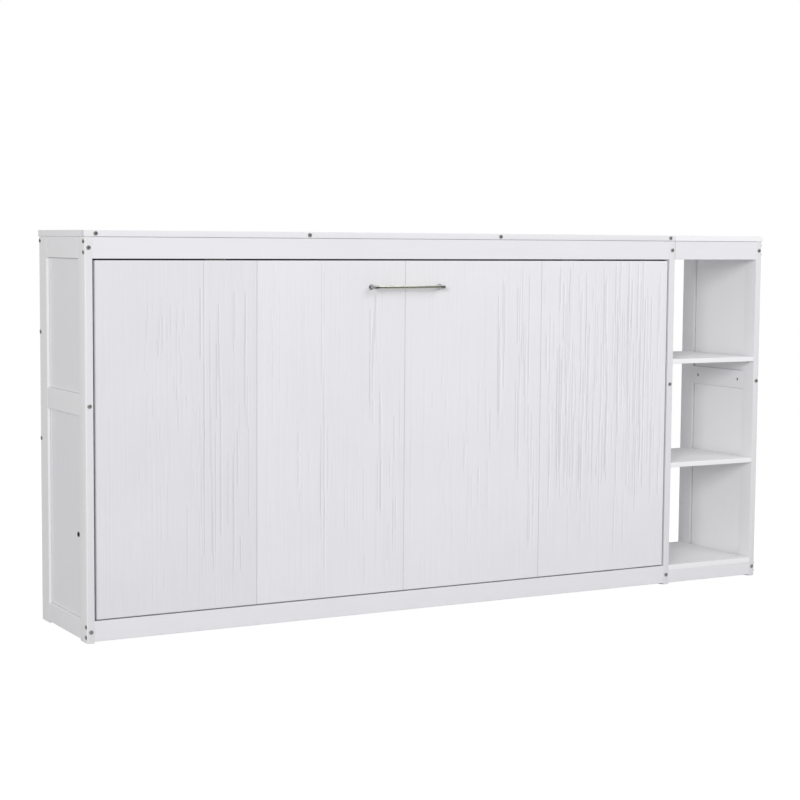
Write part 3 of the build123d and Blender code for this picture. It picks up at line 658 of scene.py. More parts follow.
# a darker copy of the white paint for the stiles' fronts: painted shade
PAINTED_SHADE_STILE_PAINT = PaintedWood("painted_shade_stile_paint", (0.775, 0.772, 0.797), (0.745, 0.742, 0.77))
# its dark end is reached through the painted shade of the grooves and joints
FRONT_PAINT = BrushedFront("brushed_front", (0.885, 0.881, 0.907), (0.66, 0.657, 0.688))
SLAT_PINE = BarePine("slat_pine", (0.72, 0.55, 0.36), (0.50, 0.32, 0.17), pitch=0.1435)
RAIL_PINE = BarePine("rail_pine", (0.70, 0.53, 0.34), (0.48, 0.31, 0.16), way=GrainWay.ALONG_X)
BRONZE = PlatedMetal("aged_bronze", (0.60, 0.595, 0.545), (0.34, 0.335, 0.30), roughness=0.36, metallic=0.75)
DARK_STEEL = PlatedMetal("darkened_steel", (0.20, 0.20, 0.21), (0.09, 0.09, 0.10), roughness=0.38)
ZINC = PlatedMetal("bright_zinc", (0.66, 0.67, 0.69), (0.45, 0.46, 0.48), roughness=0.32)
BRASS = PlatedMetal("champagne_brass", (0.73, 0.75, 0.67), (0.59, 0.61, 0.53), roughness=0.16, size=90.0)
NICKEL = PlatedMetal("polished_nickel", (0.52, 0.52, 0.53), (0.36, 0.36, 0.37), roughness=0.1, size=90.0)
POWDER = PlatedMetal("white_powder_coat", (0.78, 0.78, 0.79), (0.72, 0.72, 0.74), 0.38, size=200.0, metallic=0.0)
NYLON = MouldedSkin("white_nylon", (0.78, 0.78, 0.77), (0.68, 0.68, 0.67))
# real catch housings, their dark colour also standing in for the shade in the top gap where they show
CATCH_SHELL = MouldedSkin("catch_shell", (0.10, 0.095, 0.09), (0.07, 0.066, 0.062))
RUBBER = MouldedSkin("moulded_rubber", (0.035, 0.035, 0.036), (0.02, 0.02, 0.021), roughness=0.72)


def dress(node: str, finish: Finish) -> None:
    """Gives a CAD node its finish.

    Args:
        node: the node's name.
        finish: what to cover it with.
    """
    cad = frame["nodes"][node]
    cad.data.materials.clear()
    cad.data.materials.append(finish.material())
    LOG.info("%s: CAD shape, %s", node, finish.name)


# ------------------------------------------------------------------------------------------ the object
@dataclass
class SideFrame:
    """One framed side: two stiles, three rails and two panels with a painted shadow line round each."""

    name: str
    outer_side: int = 0
    # the frame's paint and panel colours may be lighter copies of the white paint, as painted light
    paint: dict[GrainWay, Finish] = field(default_factory=lambda: PAINT)
    panel_colours: tuple[Triple, Triple] = PAINTED_LIGHT_PANEL
    upright_seam: float = 3.2 * MM
    level_seam: float = 2.0 * MM
    rails: tuple[str, ...] = ("top", "mid", "bottom")
    broken_edge: float = 0.7 * MM
    rounded_edge: float = 4.0 * MM
    least_arc: float = 0.05 * MM
    side_turn: float = 0.6
    panel_relief: float = 0.03 * MM

    def front_stile(self) -> None:
        """Remakes the front stile, its outer front edge well rounded and the others only broken.

        Its front takes a darker copy of the white paint, as painted shade; its sides, where a face's normal has an x
        over side_turn, take the frame's paint.
        """
        node = f"{self.name}_front_stile"
        low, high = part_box(node)
        left = self.rounded_edge if self.outer_side < 0 else self.broken_edge
        right = self.rounded_edge if self.outer_side > 0 else self.broken_edge
        radii = (self.broken_edge, self.broken_edge, left, right)
        skin = eased_post(tuple(low), tuple(high), radii, 1.5 * self.broken_edge, 6, self.least_arc)
        stile = make_piece(f"rounded_{node}", skin, "cabinet", PAINTED_SHADE_STILE_PAINT, (node,))
        stile.data.materials.append(self.paint[GrainWay.ALONG_Z].material())
        normals = np.empty(3 * len(stile.data.polygons), np.float32)
        stile.data.polygons.foreach_get("normal", normals)
        on_side = np.abs(normals[::3]) > self.side_turn
        # front and sides take different copies of the paint: painted shade on the front, painted light on the sides
        stile.data.polygons.foreach_set("material_index", on_side.astype(np.int32))

    def panel_paint(self) -> Finish:
        """The panels' paint, with a painted shadow line along each edge of the stiles and rails round them."""
        name = self.name
        edges_y = (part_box(f"{name}_front_stile")[1].y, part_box(f"{name}_rear_stile")[0].y)
        edges_z = (edge.z for rail in self.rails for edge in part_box(f"{name}_{rail}_rail"))
        seams = (*(("Y", y, self.upright_seam) for y in edges_y), *(("Z", z, self.level_seam) for z in edges_z))
        return SeamShadowPaint(f"{name}_panel_paint", *self.panel_colours, relief=self.panel_relief, seams=seams)

    def build(self) -> None:
        """Paints the stiles along their length, the rails along theirs, and the panels."""
        self.front_stile()
        dress(f"{self.name}_rear_stile", self.paint[GrainWay.ALONG_Z])
        for rail in self.rails:
            dress(f"{self.name}_{rail}_rail", self.paint[GrainWay.ALONG_Y])
        dress(f"{self.name}_panels", self.panel_paint())


@dataclass
class CabinetShell:
    """The top, aprons, long rails and shelves, and the nailed glides under the stiles."""

    long_boards: tuple[str, ...] = (
        "front_bottom_rail",
        "shelf_unit_kick_rail",
        "rear_top_rail",
        "rear_middle_rails",
        "rear_bottom_rail",
    )
    eased_boards: tuple[str, ...] = ("top_nosing", "shelf_upper", "shelf_lower")
    tops: tuple[str, ...] = ("top_board", "shelf_unit_top", "shelf_floor")
    eased_edge: float = 1.6 * MM
    seam: float = 1.8 * MM

    def paint_apron(self, apron: str, *ends: Seam) -> None:
        """Paints an apron, with a painted shadow line along its upper edge and at the ends given."""
        seams = (("Z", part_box(apron)[1].z, self.seam), *ends)
        dress(apron, SeamShadowPaint(f"{apron}_paint", *WHITE, way=GrainWay.ALONG_X, seams=seams))

    def build(self) -> None:
        """Paints the boards along their length and dresses the small parts."""
        for board in self.long_boards:
            dress(board, PAINT[GrainWay.ALONG_X])
        # the tops take the lighter copy of the paint: painted light
        for board in self.tops:
            dress(board, PAINTED_LIGHT_PAINT[GrainWay.ALONG_X])
        for board in self.eased_boards:
            low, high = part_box(board)
            skin = eased_block(tuple(low), tuple(high), self.eased_edge, steps=6)
            # the shelves take the lighter copy of the paint as painted light; the nosing keeps the plain paint
            paint = PAINT if board == "top_nosing" else PAINTED_LIGHT_PAINT
            make_piece(f"eased_{board}", skin, "cabinet", paint[GrainWay.ALONG_X], (board,))
        self.paint_apron("front_apron")
        self.paint_apron("shelf_unit_apron", ("X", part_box("shelf_unit_apron")[0].x, self.seam))
        dress("shelf_pins", ZINC)
        dress("joining_studs", ZINC)
        dress("foot_glides", NYLON)
        dress("pivot_blocks", PAINT[GrainWay.ALONG_Z])


@dataclass(frozen=True)
class GrainBand:
    """A stretch of a plank where the brushing bit deep: its middle and half spread across the plank's width,
    the part of the height that it covers, how many streaks, how deep, and a streak's longest part of the height."""

    centre: float
    spread: float
    low: float
    high: float
    streaks: int
    depth: float
    longest: float


@dataclass
class FrontPlanks:
    """The four brushed planks of the bed's front, as relief surfaces."""

    bands: tuple[tuple[GrainBand, ...], ...] = (
        (
            GrainBand(0.42, 0.14, 0.55, 0.92, 22, 0.8, 0.10),
            GrainBand(0.655, 0.02, 0.10, 0.97, 6, 1.15, 0.60),
            GrainBand(0.735, 0.035, 0.10, 0.88, 9, 1.15, 0.50),
            GrainBand(0.87, 0.03, 0.10, 0.95, 8, 1.1, 0.45),
            GrainBand(0.93, 0.02, 0.15, 0.98, 5, 0.9, 0.30),
            GrainBand(0.60, 0.25, 0.05, 0.55, 16, 0.5, 0.22),
            GrainBand(0.30, 0.10, 0.20, 0.70, 8, 0.5, 0.10),
        ),
        (
            GrainBand(0.44, 0.015, 0.15, 0.97, 5, 1.3, 0.60),
            GrainBand(0.79, 0.04, 0.55, 0.88, 9, 1.2, 0.22),
            GrainBand(0.82, 0.02, 0.20, 0.62, 5, 1.0, 0.40),
            GrainBand(0.15, 0.07, 0.50, 1.00, 8, 0.5, 0.35),
            GrainBand(0.28, 0.02, 0.25, 0.50, 3, 0.9, 0.12),
            GrainBand(0.93, 0.04, 0.10, 0.60, 9, 0.8, 0.30),
            GrainBand(0.55, 0.30, 0.05, 0.45, 14, 0.7, 0.25),
        ),
        (
            GrainBand(0.70, 0.03, 0.50, 0.98, 9, 1.2, 0.40),
            GrainBand(0.86, 0.05, 0.35, 0.96, 13, 1.2, 0.40),
            GrainBand(0.55, 0.12, 0.25, 0.60, 14, 0.8, 0.18),
            GrainBand(0.94, 0.03, 0.05, 0.60, 9, 1.0, 0.40),
            GrainBand(0.30, 0.20, 0.10, 0.80, 9, 0.6, 0.12),
        ),
        (
            GrainBand(0.50, 0.47, 0.26, 0.98, 135, 1.3, 0.34),
            GrainBand(0.25, 0.12, 0.35, 0.95, 22, 1.2, 0.40),
            GrainBand(0.75, 0.15, 0.35, 0.90, 26, 1.2, 0.40),
            GrainBand(0.50, 0.45, 0.10, 0.45, 26, 0.7, 0.20),
        ),
    )
    column_pitch: float = 1.3 * MM
    row_pitch: float = 6.0 * MM
    ragged: float = 0.07
    joint_shade: float = 1.6
    # painted shade for each whole plank, deepest on the first, at the left where less light falls
    plank_shades: tuple[float, ...] = (0.35, 0.05, 0.0, 0.0)
    top_trim: float = 1.4 * MM
    edge_radius: float = 1.5 * MM
    streak_depth: float = 1.0 * MM
    streak_width: Pair = (1.5 * MM, 2.5 * MM)
    lip_height: float = 0.55
    lip_offset: float = 1.7
    depth_share: Pair = (0.35, 1.0)
    length_share: Pair = (0.25, 1.0)
    streak_fade: float = 5.0 * MM
    depth_limit: float = 2.2
    relief_margin: float = 4.0
    joint_reach: float = 1.3
    rim_steps: int = 4
    faint_streaks: int = 120
    faint_depth: float = 0.16
    faint_longest: float = 0.5
    seed: int = 41

    def relief(
        self, across: np.ndarray, up: np.ndarray, bands: tuple[GrainBand, ...], rng: np.random.Generator
    ) -> np.ndarray:
        """How deep the brushing bit at each point of a plank.

        Formula: with d the distance across in streak widths, a streak is exp(-d^2) less a raised lip beside it,
        height * exp(-(d - offset)^2), times a window along it with soft ends. They add up, and depth =
        limit * tanh(sum / limit), so crossing streaks don't cut deeper and deeper.

        Args:
            across: distances across the plank, in metres from its left edge.
            up: heights up the plank, in metres from its lower end.
            bands: where the streaks gather.
            rng: the seeded source of chance.

        Returns:
            Depths in metres, as (columns, rows).
        """
        width, height = across[-1], up[-1]
        spread_all = GrainBand(0.5, 0.5, 0.0, 1.0, self.faint_streaks, self.faint_depth, self.faint_longest)
        streaks = []
        for band in (*bands, spread_all):
            count = band.streaks
            centre = width * (band.centre + band.spread * rng.uniform(-1, 1, count))
            length = height * band.longest * rng.uniform(*self.length_share, count)
            middle = height * rng.uniform(band.low, band.high, count)
            start = height * (band.low + rng.uniform(-1, 1, count) * self.ragged)
            end = height * (band.high + rng.uniform(-1, 1, count) * self.ragged)
            low, high = np.maximum(middle - length / 2, start), np.minimum(middle + length / 2, end)
            depth = self.streak_depth * band.depth * rng.uniform(*self.depth_share, count)
            streaks.append((centre, low, high, depth, rng.uniform(*self.streak_width, count)))
        centre, low, high, depth, breadth = np.concatenate(streaks, axis=1)[:, :, None]
        apart = (across[None] - centre) / breadth
        side = (np.exp(-(apart**2)) - self.lip_height * np.exp(-((apart - self.lip_offset) ** 2))) * depth
        above, below = (np.tanh((up[None] - edge) / self.streak_fade) for edge in (low, high))
        total = side.T @ (0.5 * (above - below))
        limit = self.depth_limit * self.streak_depth
        return limit * np.tanh(total / limit)

    def plank(
        self, low: np.ndarray, high: np.ndarray, bands: tuple[GrainBand, ...], rng: np.random.Generator
    ) -> tuple[Skin, np.ndarray]:
        """One plank: a relief face, rounded edges, straight sides and a flat back.

        Formula: the face is y = front + relief + r - sqrt(r^2 - (r - d)^2), where d is the distance to the
        nearest edge and r the edge's radius, up to which the last term acts.

        Args:
            low: the plank's lowest corner.
            high: its highest corner.
            bands: where its streaks gather.
            rng: the seeded source of chance.

        Returns:
            The closed surface, and each point's groove value, which paints shade and highlight: 1 deep in a groove,
            below 0 on a raised lip, and above 1 in the joint with the next plank.
        """
        radius = self.edge_radius
        rim = radius * (1 - np.cos(np.linspace(0, QUARTER_TURN, self.rim_steps + 1)))

        def stations(length: float, pitch: float) -> np.ndarray:
            """Distances along one side: close together round its two edges, evenly spread between."""
            inner = np.linspace(radius, length - radius, int(length / pitch))
            return np.concatenate([rim[:-1], inner, length - rim[-2::-1]])

        across = stations(high[0] - low[0], self.column_pitch)
        up = stations(high[2] - low[2], self.row_pitch)
        depth = self.relief(across, up, bands, rng)
        from_side = np.minimum(across, across[-1] - across)[:, None]
        from_end = np.minimum(up, up[-1] - up)[None]
        from_edge = np.minimum(from_side, from_end)
        near = np.minimum(from_edge, radius)
        sunk = depth * np.clip(from_edge / (self.relief_margin * radius), 0, 1)
        y = low[1] + sunk + radius - np.sqrt(np.maximum(radius**2 - (radius - near) ** 2, 0))
        columns, rows = y.shape
        x = np.broadcast_to((low[0] + across)[:, None], y.shape)
        z = np.broadcast_to((low[2] + up)[None], y.shape)
        face = np.stack([x, y, z], axis=-1).reshape(-1, 3)
        number = np.arange(columns * rows).reshape(columns, rows)
        cells = [number[:-1, :-1], number[1:, :-1], number[1:, 1:], number[:-1, 1:]]
        quads = np.stack(cells, axis=-1).reshape(-1, 4)
        border = np.concatenate([number[:, 0], number[-1, 1:], number[-2::-1, -1], number[0, -2:0:-1]])
        back = face[border].copy()
        back[:, 1] = high[1]
        count = len(border)
        rim_number = columns * rows + np.arange(count)
        walls = np.stack([np.roll(border, -1), border, rim_number, np.roll(rim_number, -1)], axis=-1)
        middle = np.array([[(low[0] + high[0]) / 2, high[1], (low[2] + high[2]) / 2]])
        cap = fan(columns * rows + count, rim_number)[:, [2, 1, 0]]
        # painted shade along the joints between planks
        joint = self.joint_shade * np.clip(1 - from_side / (self.joint_reach * radius), 0, 1)
        groove = (np.clip(sunk / self.streak_depth, -1, 1) + joint).ravel()
        skin = Skin(np.concatenate([face, back, middle]), [quads, walls, cap])
        return skin, np.append(groove, np.zeros(count + 1))

    def build(self) -> None:
        """Makes each plank from its CAD node's box, with its own chance and its groove attribute, plus a painted
        shade for the whole plank.
        """
        for index, bands in enumerate(self.bands, start=1):
            node = f"front_plank_{index}"
            low, high = (np.array(corner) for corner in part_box(node))
            high[2] -= self.top_trim
            skin, groove = self.plank(low, high, bands, np.random.default_rng(self.seed + index))
            piece = make_piece(f"brushed_plank_{index}", skin, "bed", FRONT_PAINT, (node,))
            attribute = piece.data.attributes.new("groove", "FLOAT", "POINT")
            attribute.data.foreach_set("value", (groove + self.plank_shades[index - 1]).astype(np.float32))


@dataclass
class BedBox:
    """The bed box's rails, its centre beam and ledgers, and its pine slats."""

    slats: int = 14
    slat_width: float = 60 * MM
    slat_edge: float = 3.0 * MM
    rails: tuple[str, ...] = ("bed_inner_rail", "bed_outer_rail")
    side_rails: tuple[str, ...] = ("bed_left_rail", "bed_right_rail")

    def build(self) -> None:
        """Paints the rails and lays the slats out evenly over the CAD slats' box."""
        for rail in self.rails:
            dress(rail, PAINT[GrainWay.ALONG_X])
        for rail in self.side_rails:
            dress(rail, PAINT[GrainWay.ALONG_Z])
        dress("bed_centre_beam", RAIL_PINE)
        dress("slat_ledgers", RAIL_PINE)
        dress("strike_plates", DARK_STEEL)
        low, high = (np.array(corner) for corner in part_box("bed_slats"))
        one = eased_block(tuple(low), (low[0] + self.slat_width, high[1], high[2]), self.slat_edge)
        steps = np.linspace(0.0, high[0] - low[0] - self.slat_width, self.slats)
        origins = steps[:, None] * np.array([1.0, 0.0, 0.0])
        frames = np.tile(np.eye(3), (self.slats, 1, 1))
        make_piece("eased_slats", one.placed(origins, frames), "bed", SLAT_PINE, ("bed_slats",))


@dataclass
class Fasteners:
    """The bronze furniture bolts and the dark barrel nuts that they screw into."""

    head_radius: float = 6.25 * MM
    socket_radius: float = 2.5 * MM
    shank_radius: float = 3.0 * MM
    rear_sink: float = 3.0 * MM
    nut_radius: float = 5.0 * MM
    nut_length: float = 15.0 * MM
    nut_set_back: float = 30.0 * MM
    below_top: Pair = (13.0 * MM, 43.5 * MM)
    above_bottom_rail: Pair = (41.6 * MM, 12.4 * MM)
    above_kick_rail: Pair = (37.0 * MM, 12.4 * MM)
    rear_rail_half: float = 30.0 * MM
    top_bolt_x: tuple[float, ...] = (31 * MM, 692 * MM, 1355 * MM, 2014 * MM)

    def stile_seats(self) -> list[Seat]:
        """Seats and ways of the bolts through the stiles' edges."""
        seats = []
        for name in ("left", "middle", "right"):
            front_low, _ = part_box(f"{name}_front_stile")
            _, rear_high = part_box(f"{name}_rear_stile")
            for rail in ("top", "mid", "bottom"):
                middle = centre_of(f"{name}_{rail}_rail")
                seats.append(((middle.x, front_low.y, middle.z), (0, 1, 0)))
                seats.append(((middle.x, rear_high.y - self.rear_sink, middle.z), (0, -1, 0)))
        return seats

    def side_seats(self) -> list[Seat]:
        """Seats and ways of the bolts through the side frames' faces into the long rails."""
        left, middle, right = (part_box(f"{name}_front_stile") for name in ("left", "middle", "right"))
        _, apron_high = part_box("front_apron")
        bottom_low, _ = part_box("front_bottom_rail")
        kick_low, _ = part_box("shelf_unit_kick_rail")
        rails_low, rails_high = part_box("rear_middle_rails")
        front_y, rear_y = centre_of("front_apron").y, centre_of("rear_top_rail").y
        seats = []
        for drop in self.below_top:
            seats.append(((left[0].x, front_y, apron_high.z - drop), (1, 0, 0)))
            seats.append(((right[1].x, front_y, apron_high.z - drop), (-1, 0, 0)))
        for rise in self.above_bottom_rail:
            seats.append(((left[0].x, front_y, bottom_low.z + rise), (1, 0, 0)))
        for rise in self.above_kick_rail:
            seats.append(((right[1].x, front_y, kick_low.z + rise), (-1, 0, 0)))
        rear_heights = (
            apron_high.z - self.below_top[0],
            rails_high.z - self.rear_rail_half,
            rails_low.z + self.rear_rail_half,
        )
        for height in rear_heights:
            seats.append(((left[0].x, rear_y, height), (1, 0, 0)))
            seats.append(((middle[1].x, rear_y, height), (-1, 0, 0)))
        return seats

    def top_seats(self) -> list[Seat]:
        """Seats and ways of the bolts through the top's front edge."""
        nosing_low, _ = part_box("top_nosing")
        left_low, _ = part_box("left_front_stile")
        height = centre_of("top_nosing").z
        return [((left_low.x + x, nosing_low.y, height), (0, 1, 0)) for x in self.top_bolt_x]

    def bolt(self) -> Skin:
        """A bolt whose head is above its seat: a slightly crowned disc with a hex socket, on a plain shank.

        Returns:
            The closed surface, seat at z = 0 and shank towards +z.
        """
        socket = rounds(self.socket_radius, (0.3, -0.4, 1.0), (0.96, -0.4, 1.0), (1.0, -2.4, 1.0), (1.12, -2.55, 0.6))
        crown = rounds(self.head_radius, (0.62, -2.5), (0.80, -2.38), (0.92, -2.05), (0.985, -1.5), (1.0, -0.9))
        seat = rounds(self.head_radius, (1.0, -0.15), (0.985, 0.0))
        return turned(socket + crown + seat + rounds(self.shank_radius, (1.0, 0.0), (1.0, 40.0)))

    def nut(self) -> Skin:
        """A barrel nut: a short rod with a screwdriver slot in the end at z = 0.

        Returns:
            The closed surface, its length towards +z.
        """
        radius = self.nut_radius
        slot_rows = ((0.5, 0.1, 1.2), (0.66, 0.16, 1.2), (0.66, 0.16, 0.1), (0.78, 0.5, 0.0))
        slot = [Ring(x * radius, y * radius, height * MM) for x, y, height in slot_rows]
        rod = rounds(radius, (0.9, 0.0), (0.98, 0.35), (1.0, 0.8))
        end = [Ring(radius, radius, self.nut_length - 0.6 * MM), Ring(0.9 * radius, 0.9 * radius, self.nut_length)]
        return turned(slot + rod + end, segments=32)

    def build(self) -> None:
        """Places every bolt and nut by the boards that it joins."""
        bolts = self.bolt().seated(self.stile_seats() + self.side_seats() + self.top_seats())
        make_piece("crowned_bolts", bolts, "cabinet", BRONZE, ("frame_bolts",))
        seats = []
        for name, inward in (("left", -1.0), ("middle", 1.0), ("right", 1.0)):
            for rail in ("top", "mid", "bottom"):
                low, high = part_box(f"{name}_{rail}_rail")
                middle = centre_of(f"{name}_{rail}_rail")
                start = middle.x - inward * self.nut_length / 2
                for y in (low.y + self.nut_set_back, high.y - self.nut_set_back):
                    seats.append(((start, y, middle.z), (inward, 0.0, 0.0)))
        nuts = self.nut().seated(seats)
        make_piece("slotted_barrel_nuts", nuts, "cabinet", DARK_STEEL, ("barrel_nuts",))


@dataclass
class BedPivots:
    """The two pivot bolts with their lock nuts, washers and plates."""

    head_radius: float = 7.5 * MM
    socket_radius: float = 3.4 * MM
    shank_radius: float = 5.0 * MM
    nut_radius: float = 9.0 * MM

    def bolt_and_nut(self) -> Skin:
        """A crowned bolt with a hex socket, seat at z = 0 and shank along +z, and its chamfered lock nut."""
        socket = rounds(self.socket_radius, (0.3, -0.7, 1.0), (1.0, -0.7, 1.0), (1.0, -2.9, 1.0))
        head = rounds(self.head_radius, (0.62, -3.0), (0.86, -2.65), (0.97, -1.9), (1.0, -1.1), (1.0, 0.0))
        shank = rounds(self.shank_radius, (1.0, 0.0), (1.0, 45.7), (0.84, 46.5))
        near, far = rounds(self.shank_radius, (1.0, 42.4), (1.0, 48.4))
        flanks = rounds(self.nut_radius, (0.86, 42.4), (1.0, 43.1, 1.0), (1.0, 47.7, 1.0), (0.86, 48.4))
        return joined([turned(socket + head + shank), turned([near, *flanks, far], bored=True)])

    def build(self) -> None:
        """Sets a bolt and nut in each side, and dresses the washers and plates."""
        fold = next(joint for joint in frame["joints"] if joint["name"] == "bed_fold")
        _, pivot_y, pivot_z = fold["pos_m"]
        left_low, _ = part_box("left_panels")
        _, right_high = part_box("middle_panels")
        sides = ((left_low.x, 1.0), (right_high.x, -1.0))
        pivots = self.bolt_and_nut().seated([((x, pivot_y, pivot_z), (way, 0.0, 0.0)) for x, way in sides])
        make_piece("crowned_pivots", pivots, "cabinet", DARK_STEEL, ("pivot_bolts",))
        dress("pivot_washers", NYLON)
        dress("pivot_plates", ZINC)


@dataclass
class BarHandle:
    """The bar handle: turned rosettes, necks and end sleeves in nickel, and a brass bar between them."""

    rosette_radius: float = 8.5 * MM
    neck_radius: float = 4.2 * MM
    sleeve_wall: float = 0.8 * MM
    sleeve_overhang: float = 5.0 * MM
    stem_start: float = 4.6 * MM

    def post(self, reach: float) -> Skin:
        """A stepped rosette and a waisted neck, from the board at z = 0 to the bar's middle.

        Args:
            reach: distance from the board to the bar's middle.

        Returns:
            The closed surface.
        """
        rosette, neck = self.rosette_radius, self.neck_radius
        widths = [0.3, 1.0, 1.0, 0.97, 0.90, 0.83, 0.79, 0.78, 0.74, 0.68, 0.60]
        heights = [0.0, 0.0, 1.2, 1.9, 2.3, 2.1, 1.5, 3.0, 3.7, 4.1, 4.3]
        foot = rounds(rosette, *zip(widths, heights))
        along = np.linspace(0.0, 1.0, 9)
        waist = neck * (1.0 + 0.22 * np.cos(FULL_TURN * along))
        level = self.stem_start + along * (reach - self.stem_start)
        stem = [Ring(w, w, z) for w, z in zip(waist.tolist(), level.tolist())]
        return turned(foot + stem, segments=40)

    def sleeve(self, radius: float, length: float) -> Skin:
        """An end sleeve with a domed outer end and a beaded inner one, along +z from its outer end."""
        turns = np.linspace(0.12, QUARTER_TURN, 8).tolist()
        dome = [Ring(radius * math.sin(t), radius * math.sin(t), radius * 0.55 * (1 - math.cos(t))) for t in turns]
        beads = ((1.0, 3.2), (0.93, 2.8), (0.93, 2.2), (1.0, 1.8), (1.0, 0.4), (0.94, 0.0))
        body = [Ring(radius * share, radius * share, length - back * MM) for share, back in beads]
        return turned(dome + body, segments=40)

    def bar(self, radius: float, length: float) -> Skin:
        """A rod with slightly drawn-in ends, along +z."""
        rows = ((0.9, -0.004), (1.0, 0.0), (1.0, 0.5), (1.0, 1.0), (0.9, 1.004))
        return turned([Ring(radius * share, radius * share, along * length) for share, along in rows], 48)

    def build(self) -> None:
        """Builds the posts with their sleeves, and the bar, in the CAD handle's boxes."""
        posts_low, posts_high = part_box("handle_posts")
        bar_low, bar_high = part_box("handle_bar")
        middle = centre_of("handle_bar")
        sleeve_radius = middle.y - posts_low.y
        overhang = self.rosette_radius
        feet = (posts_low.x + overhang, posts_high.x - overhang)
        outwards = (0.0, -1.0, 0.0)
        post = self.post(posts_high.y - middle.y)
        posts = post.seated([((x, posts_high.y, middle.z), outwards) for x in feet])
        start = overhang - self.sleeve_overhang
        sleeve = self.sleeve(sleeve_radius, bar_low.x - posts_low.x - start)
        ends = ((posts_low.x + start, 1.0), (posts_high.x - start, -1.0))
        sleeves = sleeve.seated([((x, middle.y, middle.z), (way, 0.0, 0.0)) for x, way in ends])
        make_piece("turned_handle_posts", joined([posts, sleeves]), "bed", NICKEL, ("handle_posts",))
        bar = self.bar(sleeve_radius - self.sleeve_wall, bar_high.x - bar_low.x)
        placed = bar.seated([((bar_low.x, middle.y, middle.z), (1.0, 0.0, 0.0))])
        make_piece("polished_handle_bar", placed, "bed", BRASS, ("handle_bar",))


@dataclass
class FoldLegs:
    """The two flat legs with their pins, and their rounded rubber feet."""

    foot_edge: float = 0.9 * MM

    def build(self) -> None:
        """Coats the legs, plates their pins and shoes their feet."""
        for side in ("left", "right"):
            dress(f"{side}_leg", POWDER)
            low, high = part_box(f"{side}_leg_foot")
            foot = eased_block(tuple(low), tuple(high), self.foot_edge)
            make_piece(f"{side}_rubber_shoe", foot, f"leg_{side}", RUBBER, (f"{side}_leg_foot",))
        dress("leg_pins", ZINC)


@dataclass
class Catches:
    """The two magnetic catches behind the apron, and a dark rubber strip between them that stands in for the shade in
    the gap above the bed front: painted shade.
    """

    catch_length: float = 60.0 * MM
    clearance: float = 2.0 * MM
    end_clearance: float = 4.0 * MM
    strip_thickness: float = 2.4 * MM
    strip_above: float = 11.0 * MM
    strip_below: float = 4.3 * MM
    strip_edge: float = 0.5 * MM

    def build(self) -> None:
        """Dresses the catches' shells, and runs the dark strip, painted shade for the gap, along the apron's back in
        three lengths.
        """
        # the shells' dark also stands in for the shade in the top gap, as painted shade
        dress("catch_magnets", CATCH_SHELL)
        apron_low, apron_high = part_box("front_apron")
        catch_low, catch_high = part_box("catch_magnets")
        margin = self.clearance
        starts = (apron_low.x + self.end_clearance, catch_low.x + self.catch_length + margin, catch_high.x + margin)
        ends = (catch_low.x - margin, catch_high.x - self.catch_length - margin, apron_high.x - self.end_clearance)
        near, foot = apron_high.y, apron_low.z - self.strip_below
        far, head = near + self.strip_thickness, apron_low.z + self.strip_above
        spans = zip(starts, ends)
        lengths = [eased_block((start, near, foot), (end, far, head), self.strip_edge) for start, end in spans]
        # a dark sheet where the gap lies in shade: painted shade
        make_piece("gap_shade_strip", joined(lengths), "cabinet", RUBBER)


@dataclass(frozen=True)
class Lamp:
    """A square soft light: where it hangs, the point that it faces, its side in metres, its power in watts."""

    name: str
    place: Triple
    aim: Triple
    size: float
    power: float

    def hang(self) -> None:
        """Adds the light to the scene."""
        data = bpy.data.lights.new(self.name, "AREA")
        data.size = self.size
        data.energy = self.power
        lamp = bpy.data.objects.new(self.name, data)
        lamp.visible_glossy = False
        way = Vector(self.aim) - Vector(self.place)
        lamp.matrix_world = Matrix.Translation(self.place) @ way.to_track_quat("-Z", "Y").to_matrix().to_4x4()
        bpy.context.scene.collection.objects.link(lamp)


